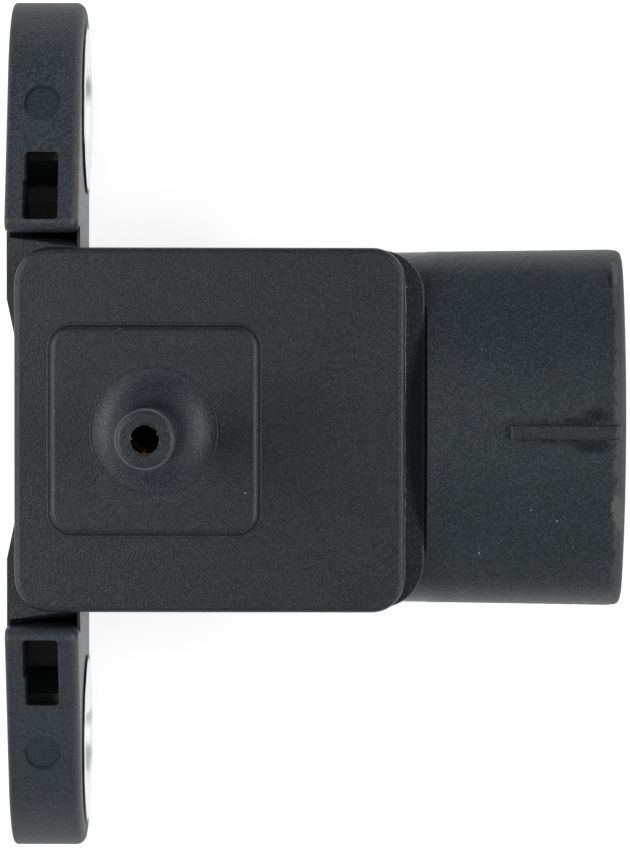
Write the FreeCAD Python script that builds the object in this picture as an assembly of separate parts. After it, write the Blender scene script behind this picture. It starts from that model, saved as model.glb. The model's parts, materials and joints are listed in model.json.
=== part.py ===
import FreeCAD, Part
import math
import os

# Manifold absolute pressure sensor with a two-ear flange, a port nipple and a three-way socket.
#
# Frame, in millimetres. The origin lies midway between the two bolt holes, on the mounting face.
# X runs from the mounting face towards the socket, Y along the two ears, Z the way the nipple points.

# Flange and its two ears
EAR_STRAIGHT = 1.7
FLANGE_T = 6.1
EAR_WALL = 2.0
EAR_FROM_BOX = 1.4
EAR_INNER_Z = 13.3
WEB_BACK_Z = -4.0
EAR_FRONT_EDGE_R = 0.8
EAR_BACK_EDGE_R = 0.35
EAR_INNER_EDGE_R = 0.9
SLOT_WALL = 0.25
SLOT_BACK_W = 0.45
SLOT_BOX_GAP = 0.15
SLOT_BACK_Z = 9.2
SLOT_FRONT_Z = -1.5
RELIEF_DEPTH = 0.8
RELIEF_HALF_Y = 7.0
RELIEF_RAMP = 3.8

# Cored pocket in each ear, and the pin mark beside it
POCKET_X0 = 1.58
POCKET_LEN = 2.8
POCKET_FROM_EDGE = 1.05
POCKET_WIDE = 5.6
POCKET_FLOOR_Z = 4.4
POCKET_R = 0.35
POCKET_JOG = 0.13
POCKET_JOG_LEN = 3.2
POCKET_LEDGE_W = 0.6
POCKET_LEDGE_Z = 7.1
BUSHING_WALL = 1.0
PIN_MARK_D = 2.9
PIN_MARK_DEPTH = 0.14
PIN_MARK_X = 2.93

# Steel compression bushings
BUSHING_D = 14.0
BUSHING_HOLE_D = 6.6
BUSHING_PROUD = 0.12
BUSHING_CHAMFER = 0.4
BUSHING_EDGE = 0.06
BUSHING_GROOVE_W = 1.2
BUSHING_GROOVE_DEPTH = 0.5
BUSHING_SEAT_CHAMFER = 0.15

# Box of the housing
BOX_END_X = 34.7
BOX_HALF_Y = 14.9
BOX_TOP_Z = 10.0
BOX_BACK_Z = -9.5
BOX_CORNER_R = 3.8
BOX_EDGE_R = 0.5
BOX_RIM_R = 0.15
SLIT_W = 0.2
SLIT_DEPTH = 0.5
SLIT_HALF_Y = 10.2
BACK_MARK_D = 4.0
BACK_MARK_DEPTH = 0.15
BACK_MARK_INSET = 4.5

# Electronics chamber in the box
FLANGE_WALL = 3.6
SIDE_WALL = 2.8
END_WALL = 4.6
FLOOR_T = 2.5
CHAMBER_R = 1.6

# Glue groove in the rim, and the tongue of the cover that stands in it
RIM_LAND = 0.7
GROOVE_W = 1.2
GROOVE_DEPTH = 1.8
TONGUE_W = 0.7
TONGUE_H = 1.4

# Port cover and its raised square pad
COVER_X0 = 0.8
COVER_SHORT_OF_BOX = 1.7
COVER_OVERHANG = 0.15
COVER_T = 3.0
COVER_FLANGE_R = 3.0
COVER_FAR_R = 2.7
COVER_EDGE_R = 0.42
COVER_STEP_IN = 0.4
COVER_STEP_H = 0.1
COVER_STEP_R = 0.08
PAD_SIDE = 17.5
PAD_R = 2.0
PAD_H = 0.65
PAD_FOOT_STEP = 0.08
PAD_FOOT_H = 0.05
PAD_EDGE_R = 0.58
COVER_RIB_T = 0.9
COVER_RIB_H = 1.5

# Port nipple on the pad
PORT_X = 12.33
PORT_BORE_D = 2.36
NIPPLE_H = 19.05
NIPPLE_D = 4.2
NIPPLE_FLARE_R = 5.36
NIPPLE_FLARE_H = 3.2
NIPPLE_FOOT_STEP = 0.16
NIPPLE_FOOT_H = 0.1
BEAD_D = 4.75
BEAD_LEN = 2.6
BEAD_TAPER = 0.9
TIP_R = 0.5
TIP_CHAMFER = 0.12

# Connector shroud, an oval tube
SHROUD_END_X = 51.35
SHROUD_HALF_Y = 14.69
SHROUD_T = 14.6
SHROUD_Z = 4.5
SHROUD_CROWN_R = 25.0
SHROUD_FLARE = 0.35
SHROUD_ROOT_X = 29.0
SHROUD_WALL = 1.9
SHROUD_BAND_W = 1.1
SHROUD_BAND_FALL = 0.12
SHROUD_RIM_R = 0.5
SOCKET_DEPTH = 13.2
SOCKET_RIB_W = 1.2
SOCKET_RIB_H = 1.1
SOCKET_RIB_Y = 7.6
GUIDE_X0 = 42.2
GUIDE_LEN = 8.35
GUIDE_Y = -0.15
GUIDE_W = 1.15
GUIDE_H = 0.4
GUIDE_EDGE_R = 0.15
LATCH_X0 = 41.5
LATCH_LEN = 5.0
LATCH_FLAT = 1.4
LATCH_W = 6.4
LATCH_H = 1.8

# Terminals
TERMINAL_NAMES = ("supply", "signal", "ground")
TERMINAL_PITCH = 5.6
TERMINAL_W = 1.5
TERMINAL_T = 0.8
TERMINAL_RECESS = 5.6
TERMINAL_TAPER = 1.0
TERMINAL_BEND_R = 0.5
TAIL_FROM_BOARD_END = 2.2
TAIL_BELOW_BOARD = 1.3
SEALANT_DEPTH = 1.4
SEALANT_MARGIN_Y = 2.0
SEALANT_HALF_Z = 1.8

# Circuit board on its four posts
BOARD_T = 1.6
BOARD_Z = 1.0
BOARD_GAP = 0.5
BOARD_R = 0.8
POST_R = 1.6
POST_INSET = 2.4
POST_TO_SOLDER = 0.4
STAKE_R = 0.7
STAKE_GAP = 0.05
STAKE_H = 0.7
PLATED_HOLE_R = 1.0
SOLDER_R = 1.5
SOLDER_TIP_R = 1.08
SOLDER_H = 0.8
SOLDER_TOP_H = 0.3

# Sensor cell under the nipple
CUP_R = 4.0
CUP_WALL = 0.7
CUP_H = 4.0
CUP_FLOOR = 0.8
CUP_LAND_R = 2.3
CUP_LAND_H = 2.0
PEDESTAL_SIDE = 2.4
PEDESTAL_H = 1.0
PEDESTAL_HOLE_D = 0.5
DIE_SIDE = 2.1
DIE_T = 0.4
DIE_WINDOW = 1.1
DIE_MEMBRANE_T = 0.08
GEL_BELOW_RIM = 0.7
WIRE_SIDE = 0.14
WIRE_RISE = 0.45
WIRE_DIE_INSET = 0.2
WIRE_LAND_OUT = 0.5
WIRE_ROWS = (-0.5, 0.5)

# Seal between the cell and the tube under the cover
SEAL_T = 1.0
SEAL_HOLE_R = 2.9
SEAL_CHAMFER = 0.15
TUBE_HOLE_R = 2.6
TUBE_ROOF_T = 0.4

# Small parts on the board, whose places are kept from the port axis and from the board's long edges
CHIP_SIDE = 5.0
CHIP_T = 0.9
CHIP_EDGE_GAP = 2.3
CHIP_PAD_T = 0.05
COLUMN_FROM_PORT = 8.2
CAPACITOR = (3.2, 1.6, 1.2)
CAPACITOR_CAP = 0.5
CAPACITOR_EDGE_GAP = 2.6
CAPACITOR_PITCH = 2.8
CAPACITOR_NAMES = ("supply_capacitor", "signal_capacitor", "filter_capacitor")
RESISTOR = (2.0, 1.25, 0.55)
RESISTOR_CAP = 0.35
RESISTOR_EDGE_GAP = 3.6
RESISTOR_FROM_PORT = -0.6
PAIR_CHIP_GAP = 0.3
PAIR_HALF_PITCH = 1.6
CAP_STEP = 0.05

# Worked out from the sizes above
EAR_R = BUSHING_D / 2 + EAR_WALL
EAR_INNER_Y = BOX_HALF_Y + EAR_FROM_BOX
HOLE_Y = EAR_INNER_Y + EAR_STRAIGHT + EAR_R
COVER_END_X = BOX_END_X - COVER_SHORT_OF_BOX
COVER_HALF_Y = BOX_HALF_Y + COVER_OVERHANG
POCKET_Y0 = EAR_INNER_Y + POCKET_FROM_EDGE
COVER_TOP_Z = BOX_TOP_Z + COVER_T
PAD_TOP_Z = COVER_TOP_Z + PAD_H
NIPPLE_TIP_Z = PAD_TOP_Z + NIPPLE_H
CHAMBER_X0 = FLANGE_WALL
CHAMBER_X1 = BOX_END_X - END_WALL
CHAMBER_HALF_Y = BOX_HALF_Y - SIDE_WALL
CHAMBER_FLOOR_Z = BOX_BACK_Z + FLOOR_T
SOCKET_FLOOR_X = SHROUD_END_X - SOCKET_DEPTH
BOARD_X0 = CHAMBER_X0 + BOARD_GAP
BOARD_X1 = CHAMBER_X1 - BOARD_GAP
BOARD_HALF_Y = CHAMBER_HALF_Y - BOARD_GAP
BOARD_TOP_Z = BOARD_Z + BOARD_T
TAIL_X = BOARD_X1 - TAIL_FROM_BOARD_END
CUP_RIM_Z = BOARD_TOP_Z + CUP_H
DIE_Z = BOARD_TOP_Z + CUP_FLOOR + PEDESTAL_H
DIE_TOP_Z = DIE_Z + DIE_T
LAND_Z = BOARD_TOP_Z + CUP_LAND_H
TUBE_END_Z = CUP_RIM_Z + SEAL_T
OVERCUT = 1.0


def point(x, y, z):
    return FreeCAD.Vector(x, y, z)


def block(x0, x1, y0, y1, z0, z1):
    """A plain block between two corners."""
    return Part.makeBox(x1 - x0, y1 - y0, z1 - z0, point(x0, y0, z0))


def cylinder(radius, x, y, z0, z1):
    """An upright cylinder."""
    return Part.makeCylinder(radius, z1 - z0, point(x, y, z0), point(0, 0, 1))


def across(radius, x0, x1, y, z):
    """A cylinder whose axis runs along X."""
    return Part.makeCylinder(radius, x1 - x0, point(x0, y, z), point(1, 0, 0))


def round_upright(shape, corners, radius):
    """Rounds the upright edges that stand at the given plan corners."""
    chosen = []
    for edge in shape.Edges:
        first = edge.Vertexes[0].Point
        last = edge.Vertexes[-1].Point
        upright = abs(first.x - last.x) < 1e-6 and abs(first.y - last.y) < 1e-6
        for x, y in corners:
            if upright and abs(first.x - x) < 1e-6 and abs(first.y - y) < 1e-6:
                chosen.append(edge)
    return shape.makeFillet(radius, chosen)


def slab(x0, x1, half_y, z0, z1, radius):
    """A plate with its four plan corners rounded."""
    corners = [(x, y) for x in (x0, x1) for y in (-half_y, half_y)]
    return round_upright(block(x0, x1, -half_y, half_y, z0, z1), corners, radius)


def edges_in_plane(shape, axis, value):
    """The edges that lie wholly in the plane where one coordinate has a value."""
    found = []
    for edge in shape.Edges:
        box = edge.BoundBox
        low, high = {"x": (box.XMin, box.XMax), "y": (box.YMin, box.YMax), "z": (box.ZMin, box.ZMax)}[axis]
        if abs(low - value) < 1e-4 and abs(high - value) < 1e-4:
            found.append(edge)
    return found


def tangent_point(centre_y, centre_z, radius, from_y, from_z):
    """Where the line from an outside point touches the upper side of a circle, in the YZ plane."""
    reach = math.hypot(from_y - centre_y, from_z - centre_z)
    bearing = math.atan2(from_z - centre_z, from_y - centre_y)
    angle = bearing - math.acos(radius / reach)
    return centre_y + radius * math.cos(angle), centre_z + radius * math.sin(angle)


def ear(side):
    """One ear of the flange: a round end that rises to a block, and the web that joins it to the box."""
    touch_y, touch_z = tangent_point(HOLE_Y, 0, EAR_R, EAR_INNER_Y, EAR_INNER_Z)
    web_y = HOLE_Y - math.sqrt(EAR_R ** 2 - WEB_BACK_Z ** 2)
    foot = point(0, EAR_INNER_Y, WEB_BACK_Z)
    head = point(0, EAR_INNER_Y, EAR_INNER_Z)
    touch = point(0, touch_y, touch_z)
    outermost = point(0, HOLE_Y + EAR_R, 0)
    web_start = point(0, web_y, WEB_BACK_Z)
    outline = Part.Wire([
        Part.LineSegment(foot, head).toShape(),
        Part.LineSegment(head, touch).toShape(),
        Part.Arc(touch, outermost, web_start).toShape(),
        Part.LineSegment(web_start, foot).toShape(),
    ])
    body = Part.Face(outline).extrude(point(FLANGE_T, 0, 0))
    inner_edge = []
    for edge in edges_in_plane(body, "y", EAR_INNER_Y):
        if edge.BoundBox.ZMin > EAR_INNER_Z - 1e-3:
            inner_edge.append(edge)
    body = body.makeFillet(EAR_INNER_EDGE_R, inner_edge)
    body = soften_ear(body, FLANGE_T, EAR_FRONT_EDGE_R)
    body = soften_ear(body, 0, EAR_BACK_EDGE_R)
    body = body.multiFuse([ear_web()])
    return body if side > 0 else body.mirror(point(0, 0, 0), point(0, 1, 0))


def ear_web():
    """The web from the box to an ear's block, parted from the block by a slot that widens and deepens forwards."""
    root_y = BOX_HALF_Y - SIDE_WALL / 2
    x0 = SLOT_WALL
    x1 = FLANGE_T - SLOT_WALL
    plan = [
        point(x0, EAR_INNER_Y - SLOT_BACK_W, WEB_BACK_Z),
        point(x1, BOX_HALF_Y + SLOT_BOX_GAP, WEB_BACK_Z),
        point(x1, EAR_INNER_Y + OVERCUT, WEB_BACK_Z),
        point(x0, EAR_INNER_Y + OVERCUT, WEB_BACK_Z),
    ]
    side = [
        point(x0, root_y, SLOT_BACK_Z),
        point(x1, root_y, SLOT_FRONT_Z),
        point(x1, root_y, EAR_INNER_Z),
        point(x0, root_y, EAR_INNER_Z),
    ]
    slot = Part.Face(Part.makePolygon(plan + plan[:1])).extrude(point(0, 0, EAR_INNER_Z - WEB_BACK_Z))
    slot = slot.common(Part.Face(Part.makePolygon(side + side[:1])).extrude(point(0, EAR_R, 0)))
    upper = block(0, FLANGE_T, root_y, EAR_INNER_Y, WEB_BACK_Z, BOX_TOP_Z).cut(slot)
    lower = block(0, FLANGE_T, EAR_INNER_Y, EAR_INNER_Y + EAR_FRONT_EDGE_R, WEB_BACK_Z, SLOT_FRONT_Z)
    back = block(0, x0, EAR_INNER_Y, EAR_INNER_Y + EAR_BACK_EDGE_R, SLOT_FRONT_Z, BOX_TOP_Z)
    front = block(x1, FLANGE_T, EAR_INNER_Y, EAR_INNER_Y + EAR_FRONT_EDGE_R, SLOT_FRONT_Z, BOX_TOP_Z)
    return upper.multiFuse([lower, back, front])


def soften_ear(body, plane_x, radius):
    """Rounds the outer edges of an ear in one of its two faces."""
    outer = []
    for edge in edges_in_plane(body, "x", plane_x):
        box = edge.BoundBox
        if box.ZMax > WEB_BACK_Z + 1e-3:
            outer.append(edge)
    return body.makeFillet(radius, outer)


def ear_height(y):
    """Height of the sloping near side of an ear at a place along it."""
    touch_y, touch_z = tangent_point(HOLE_Y, 0, EAR_R, EAR_INNER_Y, EAR_INNER_Z)
    share = (y - EAR_INNER_Y) / (touch_y - EAR_INNER_Y)
    return EAR_INNER_Z + share * (touch_z - EAR_INNER_Z)


def ear_pocket(side):
    """The cored pocket, which stops at the moulded wall round the bushing."""
    x1 = POCKET_X0 + POCKET_LEN
    step_y = side * (POCKET_Y0 + POCKET_JOG_LEN)
    cores = []
    for x0, end_y in ((POCKET_X0, side * (POCKET_Y0 + POCKET_WIDE)), (POCKET_X0 - POCKET_JOG, side * POCKET_Y0)):
        y0, y1 = sorted((step_y, end_y))
        core = block(x0, x1, y0, y1, POCKET_FLOOR_Z, EAR_INNER_Z + OVERCUT)
        cores.append(round_upright(core, [(x0, end_y), (x1, end_y)], POCKET_R))
    core = cores[0].fuse(cores[1])
    wall = across(BUSHING_D / 2 + BUSHING_WALL, POCKET_X0 - OVERCUT, x1 + OVERCUT, side * HOLE_Y, 0)
    outer_y = side * (POCKET_Y0 + POCKET_WIDE)
    ledge_y0, ledge_y1 = sorted((outer_y - side * POCKET_LEDGE_W, outer_y + side * OVERCUT))
    ledge = block(POCKET_X0 - OVERCUT, x1 + OVERCUT, ledge_y0, ledge_y1, 0, POCKET_LEDGE_Z)
    return core.cut(wall).cut(ledge)


def pin_mark(side):
    """The round mark of an ejector pin, sunk square to the slope of the ear."""
    rise = (ear_height(HOLE_Y + 1) - ear_height(HOLE_Y))
    normal = point(0, -side * rise, 1)
    normal.normalize()
    centre = point(PIN_MARK_X, side * HOLE_Y, ear_height(HOLE_Y))
    start = centre - normal * PIN_MARK_DEPTH
    return Part.makeCylinder(PIN_MARK_D / 2, OVERCUT, start, normal)


def mounting_relief():
    """The middle of the mounting face is set back, with a ramp at each end."""
    out = RELIEF_HALF_Y + RELIEF_RAMP
    height = BOX_TOP_Z - BOX_BACK_Z + 2 * OVERCUT
    z = BOX_BACK_Z - OVERCUT
    corners = [
        point(0, -out, z),
        point(RELIEF_DEPTH, -RELIEF_HALF_Y, z),
        point(RELIEF_DEPTH, RELIEF_HALF_Y, z),
        point(0, out, z),
        point(-OVERCUT, out, z),
        point(-OVERCUT, -out, z),
    ]
    return Part.Face(Part.makePolygon(corners + corners[:1])).extrude(point(0, 0, height))


def shroud_section(x, inset, flare):
    """The oval of the shroud at one place: flat crowns above and below, round sides."""
    half_y = SHROUD_HALF_Y + flare - inset
    half_t = SHROUD_T / 2 + flare - inset
    crown_r = SHROUD_CROWN_R - inset
    drop = crown_r - half_t
    side_r = (crown_r ** 2 - half_y ** 2 - drop ** 2) / (2 * (crown_r - half_y))
    side_y = half_y - side_r
    reach = math.hypot(side_y, drop)
    join_y = side_y * crown_r / reach
    join_z = drop * crown_r / reach - drop
    arcs = []
    ring = [
        ((-join_y, join_z), (0, half_t), (join_y, join_z)),
        ((join_y, join_z), (half_y, 0), (join_y, -join_z)),
        ((join_y, -join_z), (0, -half_t), (-join_y, -join_z)),
        ((-join_y, -join_z), (-half_y, 0), (-join_y, join_z)),
    ]
    for points in ring:
        ends = [point(x, y, SHROUD_Z + z) for y, z in points]
        arcs.append(Part.Arc(*ends).toShape())
    return Part.Wire(arcs)


def shroud():
    """The outside of the connector shroud, from inside the box wall to its rounded mouth."""
    root = shroud_section(SHROUD_ROOT_X, 0, 0)
    shoulder = shroud_section(SHROUD_END_X - SHROUD_BAND_W, 0, SHROUD_FLARE)
    mouth = shroud_section(SHROUD_END_X, SHROUD_BAND_FALL, SHROUD_FLARE)
    tube = Part.makeLoft([root, shoulder], True, True).fuse(Part.makeLoft([shoulder, mouth], True, True))
    tube = tube.makeFillet(SHROUD_RIM_R, edges_in_plane(tube, "x", SHROUD_END_X))
    above_rim = block(SHROUD_ROOT_X - OVERCUT, BOX_END_X, -BOX_HALF_Y - OVERCUT, BOX_HALF_Y + OVERCUT,
                      BOX_TOP_Z, BOX_TOP_Z + SHROUD_T)
    return tube.cut(above_rim)


def socket_space():
    """The inside of the shroud, with its two keying ribs left standing."""
    floor = shroud_section(SOCKET_FLOOR_X, SHROUD_WALL, 0)
    mouth = shroud_section(SHROUD_END_X + OVERCUT, SHROUD_WALL, SHROUD_FLARE)
    space = Part.makeLoft([floor, mouth], True, True)
    back = SHROUD_Z - SHROUD_T / 2 + SHROUD_WALL
    for y in (-SOCKET_RIB_Y, SOCKET_RIB_Y):
        drop = SHROUD_CROWN_R - math.sqrt(SHROUD_CROWN_R ** 2 - y ** 2)
        top = back + drop + SOCKET_RIB_H
        rib = block(SOCKET_FLOOR_X - OVERCUT, SHROUD_END_X - SHROUD_RIM_R - SHROUD_WALL,
                    y - SOCKET_RIB_W / 2, y + SOCKET_RIB_W / 2, back - OVERCUT, top)
        space = space.cut(rib)
    return space


def guide_rib():
    """The thin raised rib along the crown of the shroud."""
    top = SHROUD_Z + SHROUD_T / 2 + SHROUD_FLARE + GUIDE_H
    y0 = GUIDE_Y - GUIDE_W / 2
    rib = block(GUIDE_X0, GUIDE_X0 + GUIDE_LEN, y0, y0 + GUIDE_W, top - GUIDE_H - SHROUD_WALL / 2, top)
    return rib.makeFillet(GUIDE_EDGE_R, edges_in_plane(rib, "z", top))


def latch_ramp():
    """The wedge that a plug's latch snaps over, on the back of the shroud."""
    base_z = SHROUD_Z - SHROUD_T / 2 + SHROUD_WALL / 2
    crest_z = SHROUD_Z - SHROUD_T / 2 - LATCH_H
    end = LATCH_X0 + LATCH_LEN
    corners = [
        point(LATCH_X0, -LATCH_W / 2, base_z),
        point(LATCH_X0, -LATCH_W / 2, crest_z),
        point(LATCH_X0 + LATCH_FLAT, -LATCH_W / 2, crest_z),
        point(end, -LATCH_W / 2, crest_z + LATCH_H),
        point(end, -LATCH_W / 2, base_z),
    ]
    return Part.Face(Part.makePolygon(corners + corners[:1])).extrude(point(0, LATCH_W, 0))


def rim_ring(offset, wide, z0, z1):
    """A closed band that runs round the chamber at a distance outside its wall."""
    inner = slab(CHAMBER_X0 - offset, CHAMBER_X1 + offset, CHAMBER_HALF_Y + offset, z0, z1, CHAMBER_R + offset)
    far = offset + wide
    outer = slab(CHAMBER_X0 - far, CHAMBER_X1 + far, CHAMBER_HALF_Y + far, z0, z1, CHAMBER_R + far)
    return outer.cut(inner)


def post_places():
    """The four board posts, and whether each carries a stake."""
    x0 = BOARD_X0 + POST_INSET
    x1 = TAIL_X - SOLDER_R - POST_TO_SOLDER - POST_R
    y = BOARD_HALF_Y - POST_INSET
    return [(x0, -y, True), (x0, y, False), (x1, -y, False), (x1, y, True)]


def sealant_block(grow):
    """The pool round the terminals in the end wall."""
    half_y = TERMINAL_PITCH + TERMINAL_W / 2 + SEALANT_MARGIN_Y
    return block(CHAMBER_X1 - grow, CHAMBER_X1 + SEALANT_DEPTH, -half_y, half_y,
                 SHROUD_Z - SEALANT_HALF_Z, SHROUD_Z + SEALANT_HALF_Z)


def housing():
    """The moulding: flange with ears, box, chamber and connector shroud."""
    box = block(0, BOX_END_X, -BOX_HALF_Y, BOX_HALF_Y, BOX_BACK_Z, BOX_TOP_Z)
    box = round_upright(box, [(BOX_END_X, -BOX_HALF_Y), (BOX_END_X, BOX_HALF_Y)], BOX_CORNER_R)
    back_edges = [e for e in edges_in_plane(box, "z", BOX_BACK_Z) if e.BoundBox.XMax > 1e-3]
    box = box.makeFillet(BOX_EDGE_R, back_edges)
    rim_edges = [e for e in edges_in_plane(box, "z", BOX_TOP_Z) if e.BoundBox.XMax > FLANGE_T]
    box = box.makeFillet(BOX_RIM_R, rim_edges)
    body = box.multiFuse([ear(1), ear(-1), shroud(), guide_rib(), latch_ramp()]).removeSplitter()
    cuts = [mounting_relief(), socket_space()]
    for side in (1, -1):
        cuts.append(ear_pocket(side))
        cuts.append(pin_mark(side))
        cuts.append(bushing_outline(side))
        seat_r = BUSHING_D / 2
        cuts.append(Part.makeCone(seat_r, seat_r + BUSHING_SEAT_CHAMFER, BUSHING_SEAT_CHAMFER,
                                  point(FLANGE_T - BUSHING_SEAT_CHAMFER, side * HOLE_Y, 0), point(1, 0, 0)))
    cuts.append(slab(CHAMBER_X0, CHAMBER_X1, CHAMBER_HALF_Y, CHAMBER_FLOOR_Z, BOX_TOP_Z + OVERCUT, CHAMBER_R))
    cuts.append(rim_ring(RIM_LAND, GROOVE_W, BOX_TOP_Z - GROOVE_DEPTH, BOX_TOP_Z + OVERCUT))
    cuts.append(sealant_block(OVERCUT))
    cuts.append(block(BOX_END_X, BOX_END_X + SLIT_W, -SLIT_HALF_Y, SLIT_HALF_Y,
                      BOX_TOP_Z - SLIT_DEPTH, BOX_TOP_Z + SHROUD_T))
    for x in (BACK_MARK_INSET + FLANGE_T, BOX_END_X - BACK_MARK_INSET):
        for y in (BACK_MARK_INSET - BOX_HALF_Y, BOX_HALF_Y - BACK_MARK_INSET):
            cuts.append(cylinder(BACK_MARK_D / 2, x, y, BOX_BACK_Z - OVERCUT, BOX_BACK_Z + BACK_MARK_DEPTH))
    for cut in cuts:
        body = body.cut(cut)
    posts = []
    for x, y, staked in post_places():
        posts.append(cylinder(POST_R, x, y, CHAMBER_FLOOR_Z - FLOOR_T / 2, BOARD_Z))
        if staked:
            posts.append(cylinder(STAKE_R, x, y, BOARD_Z - OVERCUT, BOARD_TOP_Z + STAKE_H))
    body = body.multiFuse(posts)
    for index in range(len(TERMINAL_NAMES)):
        body = body.cut(terminal(index))
    return body.removeSplitter()


def bushing_outline(side):
    """The solid outline of a bushing, without its bolt hole."""
    tube = across(BUSHING_D / 2, 0, FLANGE_T + BUSHING_PROUD, side * HOLE_Y, 0)
    middle = FLANGE_T / 2
    groove = across(BUSHING_D / 2, middle - BUSHING_GROOVE_W / 2, middle + BUSHING_GROOVE_W / 2, side * HOLE_Y, 0)
    core = across(BUSHING_D / 2 - BUSHING_GROOVE_DEPTH, 0, FLANGE_T, side * HOLE_Y, 0)
    return tube.cut(groove.cut(core))


def bushing(side):
    """A steel bushing with a retaining groove, which takes the clamp load of its bolt."""
    tube = bushing_outline(side)
    face_x = FLANGE_T + BUSHING_PROUD
    tube = tube.makeChamfer(BUSHING_EDGE, edges_in_plane(tube, "x", face_x))
    hole = across(BUSHING_HOLE_D / 2, -OVERCUT, face_x + OVERCUT, side * HOLE_Y, 0)
    wide_r = BUSHING_HOLE_D / 2 + BUSHING_CHAMFER
    for x, dx in ((0, 1), (face_x, -1)):
        cone = Part.makeCone(wide_r, BUSHING_HOLE_D / 2, BUSHING_CHAMFER, point(x, side * HOLE_Y, 0), point(dx, 0, 0))
        hole = hole.fuse(cone)
    return tube.cut(hole)


def terminal_y(index):
    return (index - 1) * TERMINAL_PITCH


def terminal(index):
    """A flat blade that runs back through the wall and bends down through the board."""
    y = terminal_y(index)
    tip_x = SHROUD_END_X - TERMINAL_RECESS
    half_t = TERMINAL_T / 2
    top = SHROUD_Z + half_t
    low = SHROUD_Z - half_t
    tail_z = BOARD_Z - TAIL_BELOW_BOARD
    outer_r = TERMINAL_BEND_R + TERMINAL_T
    turn_x = TAIL_X - half_t
    inner_x = TAIL_X + half_t
    slope = math.sqrt(0.5)
    centre_x = inner_x + TERMINAL_BEND_R
    centre_z = low - TERMINAL_BEND_R
    face_y = y - TERMINAL_W / 2

    def at(x, z):
        return point(x, face_y, z)

    outline = Part.Wire([
        Part.LineSegment(at(turn_x, tail_z), at(turn_x, centre_z)).toShape(),
        Part.Arc(at(turn_x, centre_z),
                 at(centre_x - outer_r * slope, centre_z + outer_r * slope),
                 at(centre_x, top)).toShape(),
        Part.LineSegment(at(centre_x, top), at(tip_x - TERMINAL_TAPER, top)).toShape(),
        Part.LineSegment(at(tip_x - TERMINAL_TAPER, top), at(tip_x, SHROUD_Z + half_t / 3)).toShape(),
        Part.LineSegment(at(tip_x, SHROUD_Z + half_t / 3), at(tip_x, SHROUD_Z - half_t / 3)).toShape(),
        Part.LineSegment(at(tip_x, SHROUD_Z - half_t / 3), at(tip_x - TERMINAL_TAPER, low)).toShape(),
        Part.LineSegment(at(tip_x - TERMINAL_TAPER, low), at(centre_x, low)).toShape(),
        Part.Arc(at(centre_x, low),
                 at(centre_x - TERMINAL_BEND_R * slope, centre_z + TERMINAL_BEND_R * slope),
                 at(inner_x, centre_z)).toShape(),
        Part.LineSegment(at(inner_x, centre_z), at(inner_x, tail_z)).toShape(),
        Part.LineSegment(at(inner_x, tail_z), at(turn_x, tail_z)).toShape(),
    ])
    return Part.Face(outline).extrude(point(0, TERMINAL_W, 0))


def terminal_sealant():
    """Sealing compound poured round the terminals, level with the chamber wall."""
    pool = sealant_block(0)
    for index in range(len(TERMINAL_NAMES)):
        pool = pool.cut(terminal(index))
    return pool


def solder_joint(index):
    """Solder that fills the plated hole and wets up the tail of a terminal."""
    y = terminal_y(index)
    joint = cylinder(PLATED_HOLE_R, TAIL_X, y, BOARD_Z, BOARD_TOP_Z)
    under = Part.makeCone(SOLDER_R, SOLDER_TIP_R, SOLDER_H, point(TAIL_X, y, BOARD_Z), point(0, 0, -1))
    over = Part.makeCone(SOLDER_R, SOLDER_TIP_R, SOLDER_TOP_H, point(TAIL_X, y, BOARD_TOP_Z), point(0, 0, 1))
    return joint.multiFuse([under, over]).cut(terminal(index)).removeSplitter()


def circuit_board():
    """The board, with stake holes and plated holes for the terminal tails."""
    board = slab(BOARD_X0, BOARD_X1, BOARD_HALF_Y, BOARD_Z, BOARD_TOP_Z, BOARD_R)
    for x, y, staked in post_places():
        if staked:
            board = board.cut(cylinder(STAKE_R + STAKE_GAP, x, y, BOARD_Z - OVERCUT, BOARD_TOP_Z + OVERCUT))
    for index in range(len(TERMINAL_NAMES)):
        board = board.cut(cylinder(PLATED_HOLE_R, TAIL_X, terminal_y(index), BOARD_Z - OVERCUT, BOARD_TOP_Z + OVERCUT))
    return board


def turned(points, x):
    """A solid turned about the upright axis through a place on the X axis, from radius and height pairs."""
    corners = [point(x + r, 0, z) for r, z in points]
    return Part.Face(Part.makePolygon(corners + corners[:1])).revolve(point(x, 0, 0), point(0, 0, 1), 360)


def cell_cup():
    """The cup of the sensor cell, with an inner land for the bond wires."""
    inner_r = CUP_R - CUP_WALL
    return turned([
        (0, BOARD_TOP_Z), (CUP_R, BOARD_TOP_Z), (CUP_R, CUP_RIM_Z), (inner_r, CUP_RIM_Z),
        (inner_r, LAND_Z), (CUP_LAND_R, LAND_Z), (CUP_LAND_R, BOARD_TOP_Z + CUP_FLOOR),
        (0, BOARD_TOP_Z + CUP_FLOOR),
    ], PORT_X)


def square_block(side, z0, z1):
    half = side / 2
    return block(PORT_X - half, PORT_X + half, -half, half, z0, z1)


def glass_pedestal():
    """The glass block that carries the die, with its vacuum hole."""
    foot_z = BOARD_TOP_Z + CUP_FLOOR
    hole = cylinder(PEDESTAL_HOLE_D / 2, PORT_X, 0, foot_z, DIE_Z)
    return square_block(PEDESTAL_SIDE, foot_z, DIE_Z).cut(hole)


def pressure_die():
    """The silicon die, etched from below to a thin square membrane."""
    half = DIE_SIDE / 2
    die = square_block(DIE_SIDE, DIE_Z, DIE_TOP_Z)
    depth = DIE_T - DIE_MEMBRANE_T
    window = DIE_WINDOW / 2
    mouth = min(window + depth / math.tan(math.radians(54.7)), half)

    def square(size, z):
        corners = [point(PORT_X + sx * size, sy * size, z) for sx, sy in ((-1, -1), (1, -1), (1, 1), (-1, 1))]
        return Part.makePolygon(corners + corners[:1])

    return die.cut(Part.makeLoft([square(mouth, DIE_Z), square(window, DIE_Z + depth)], True, True))


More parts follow.
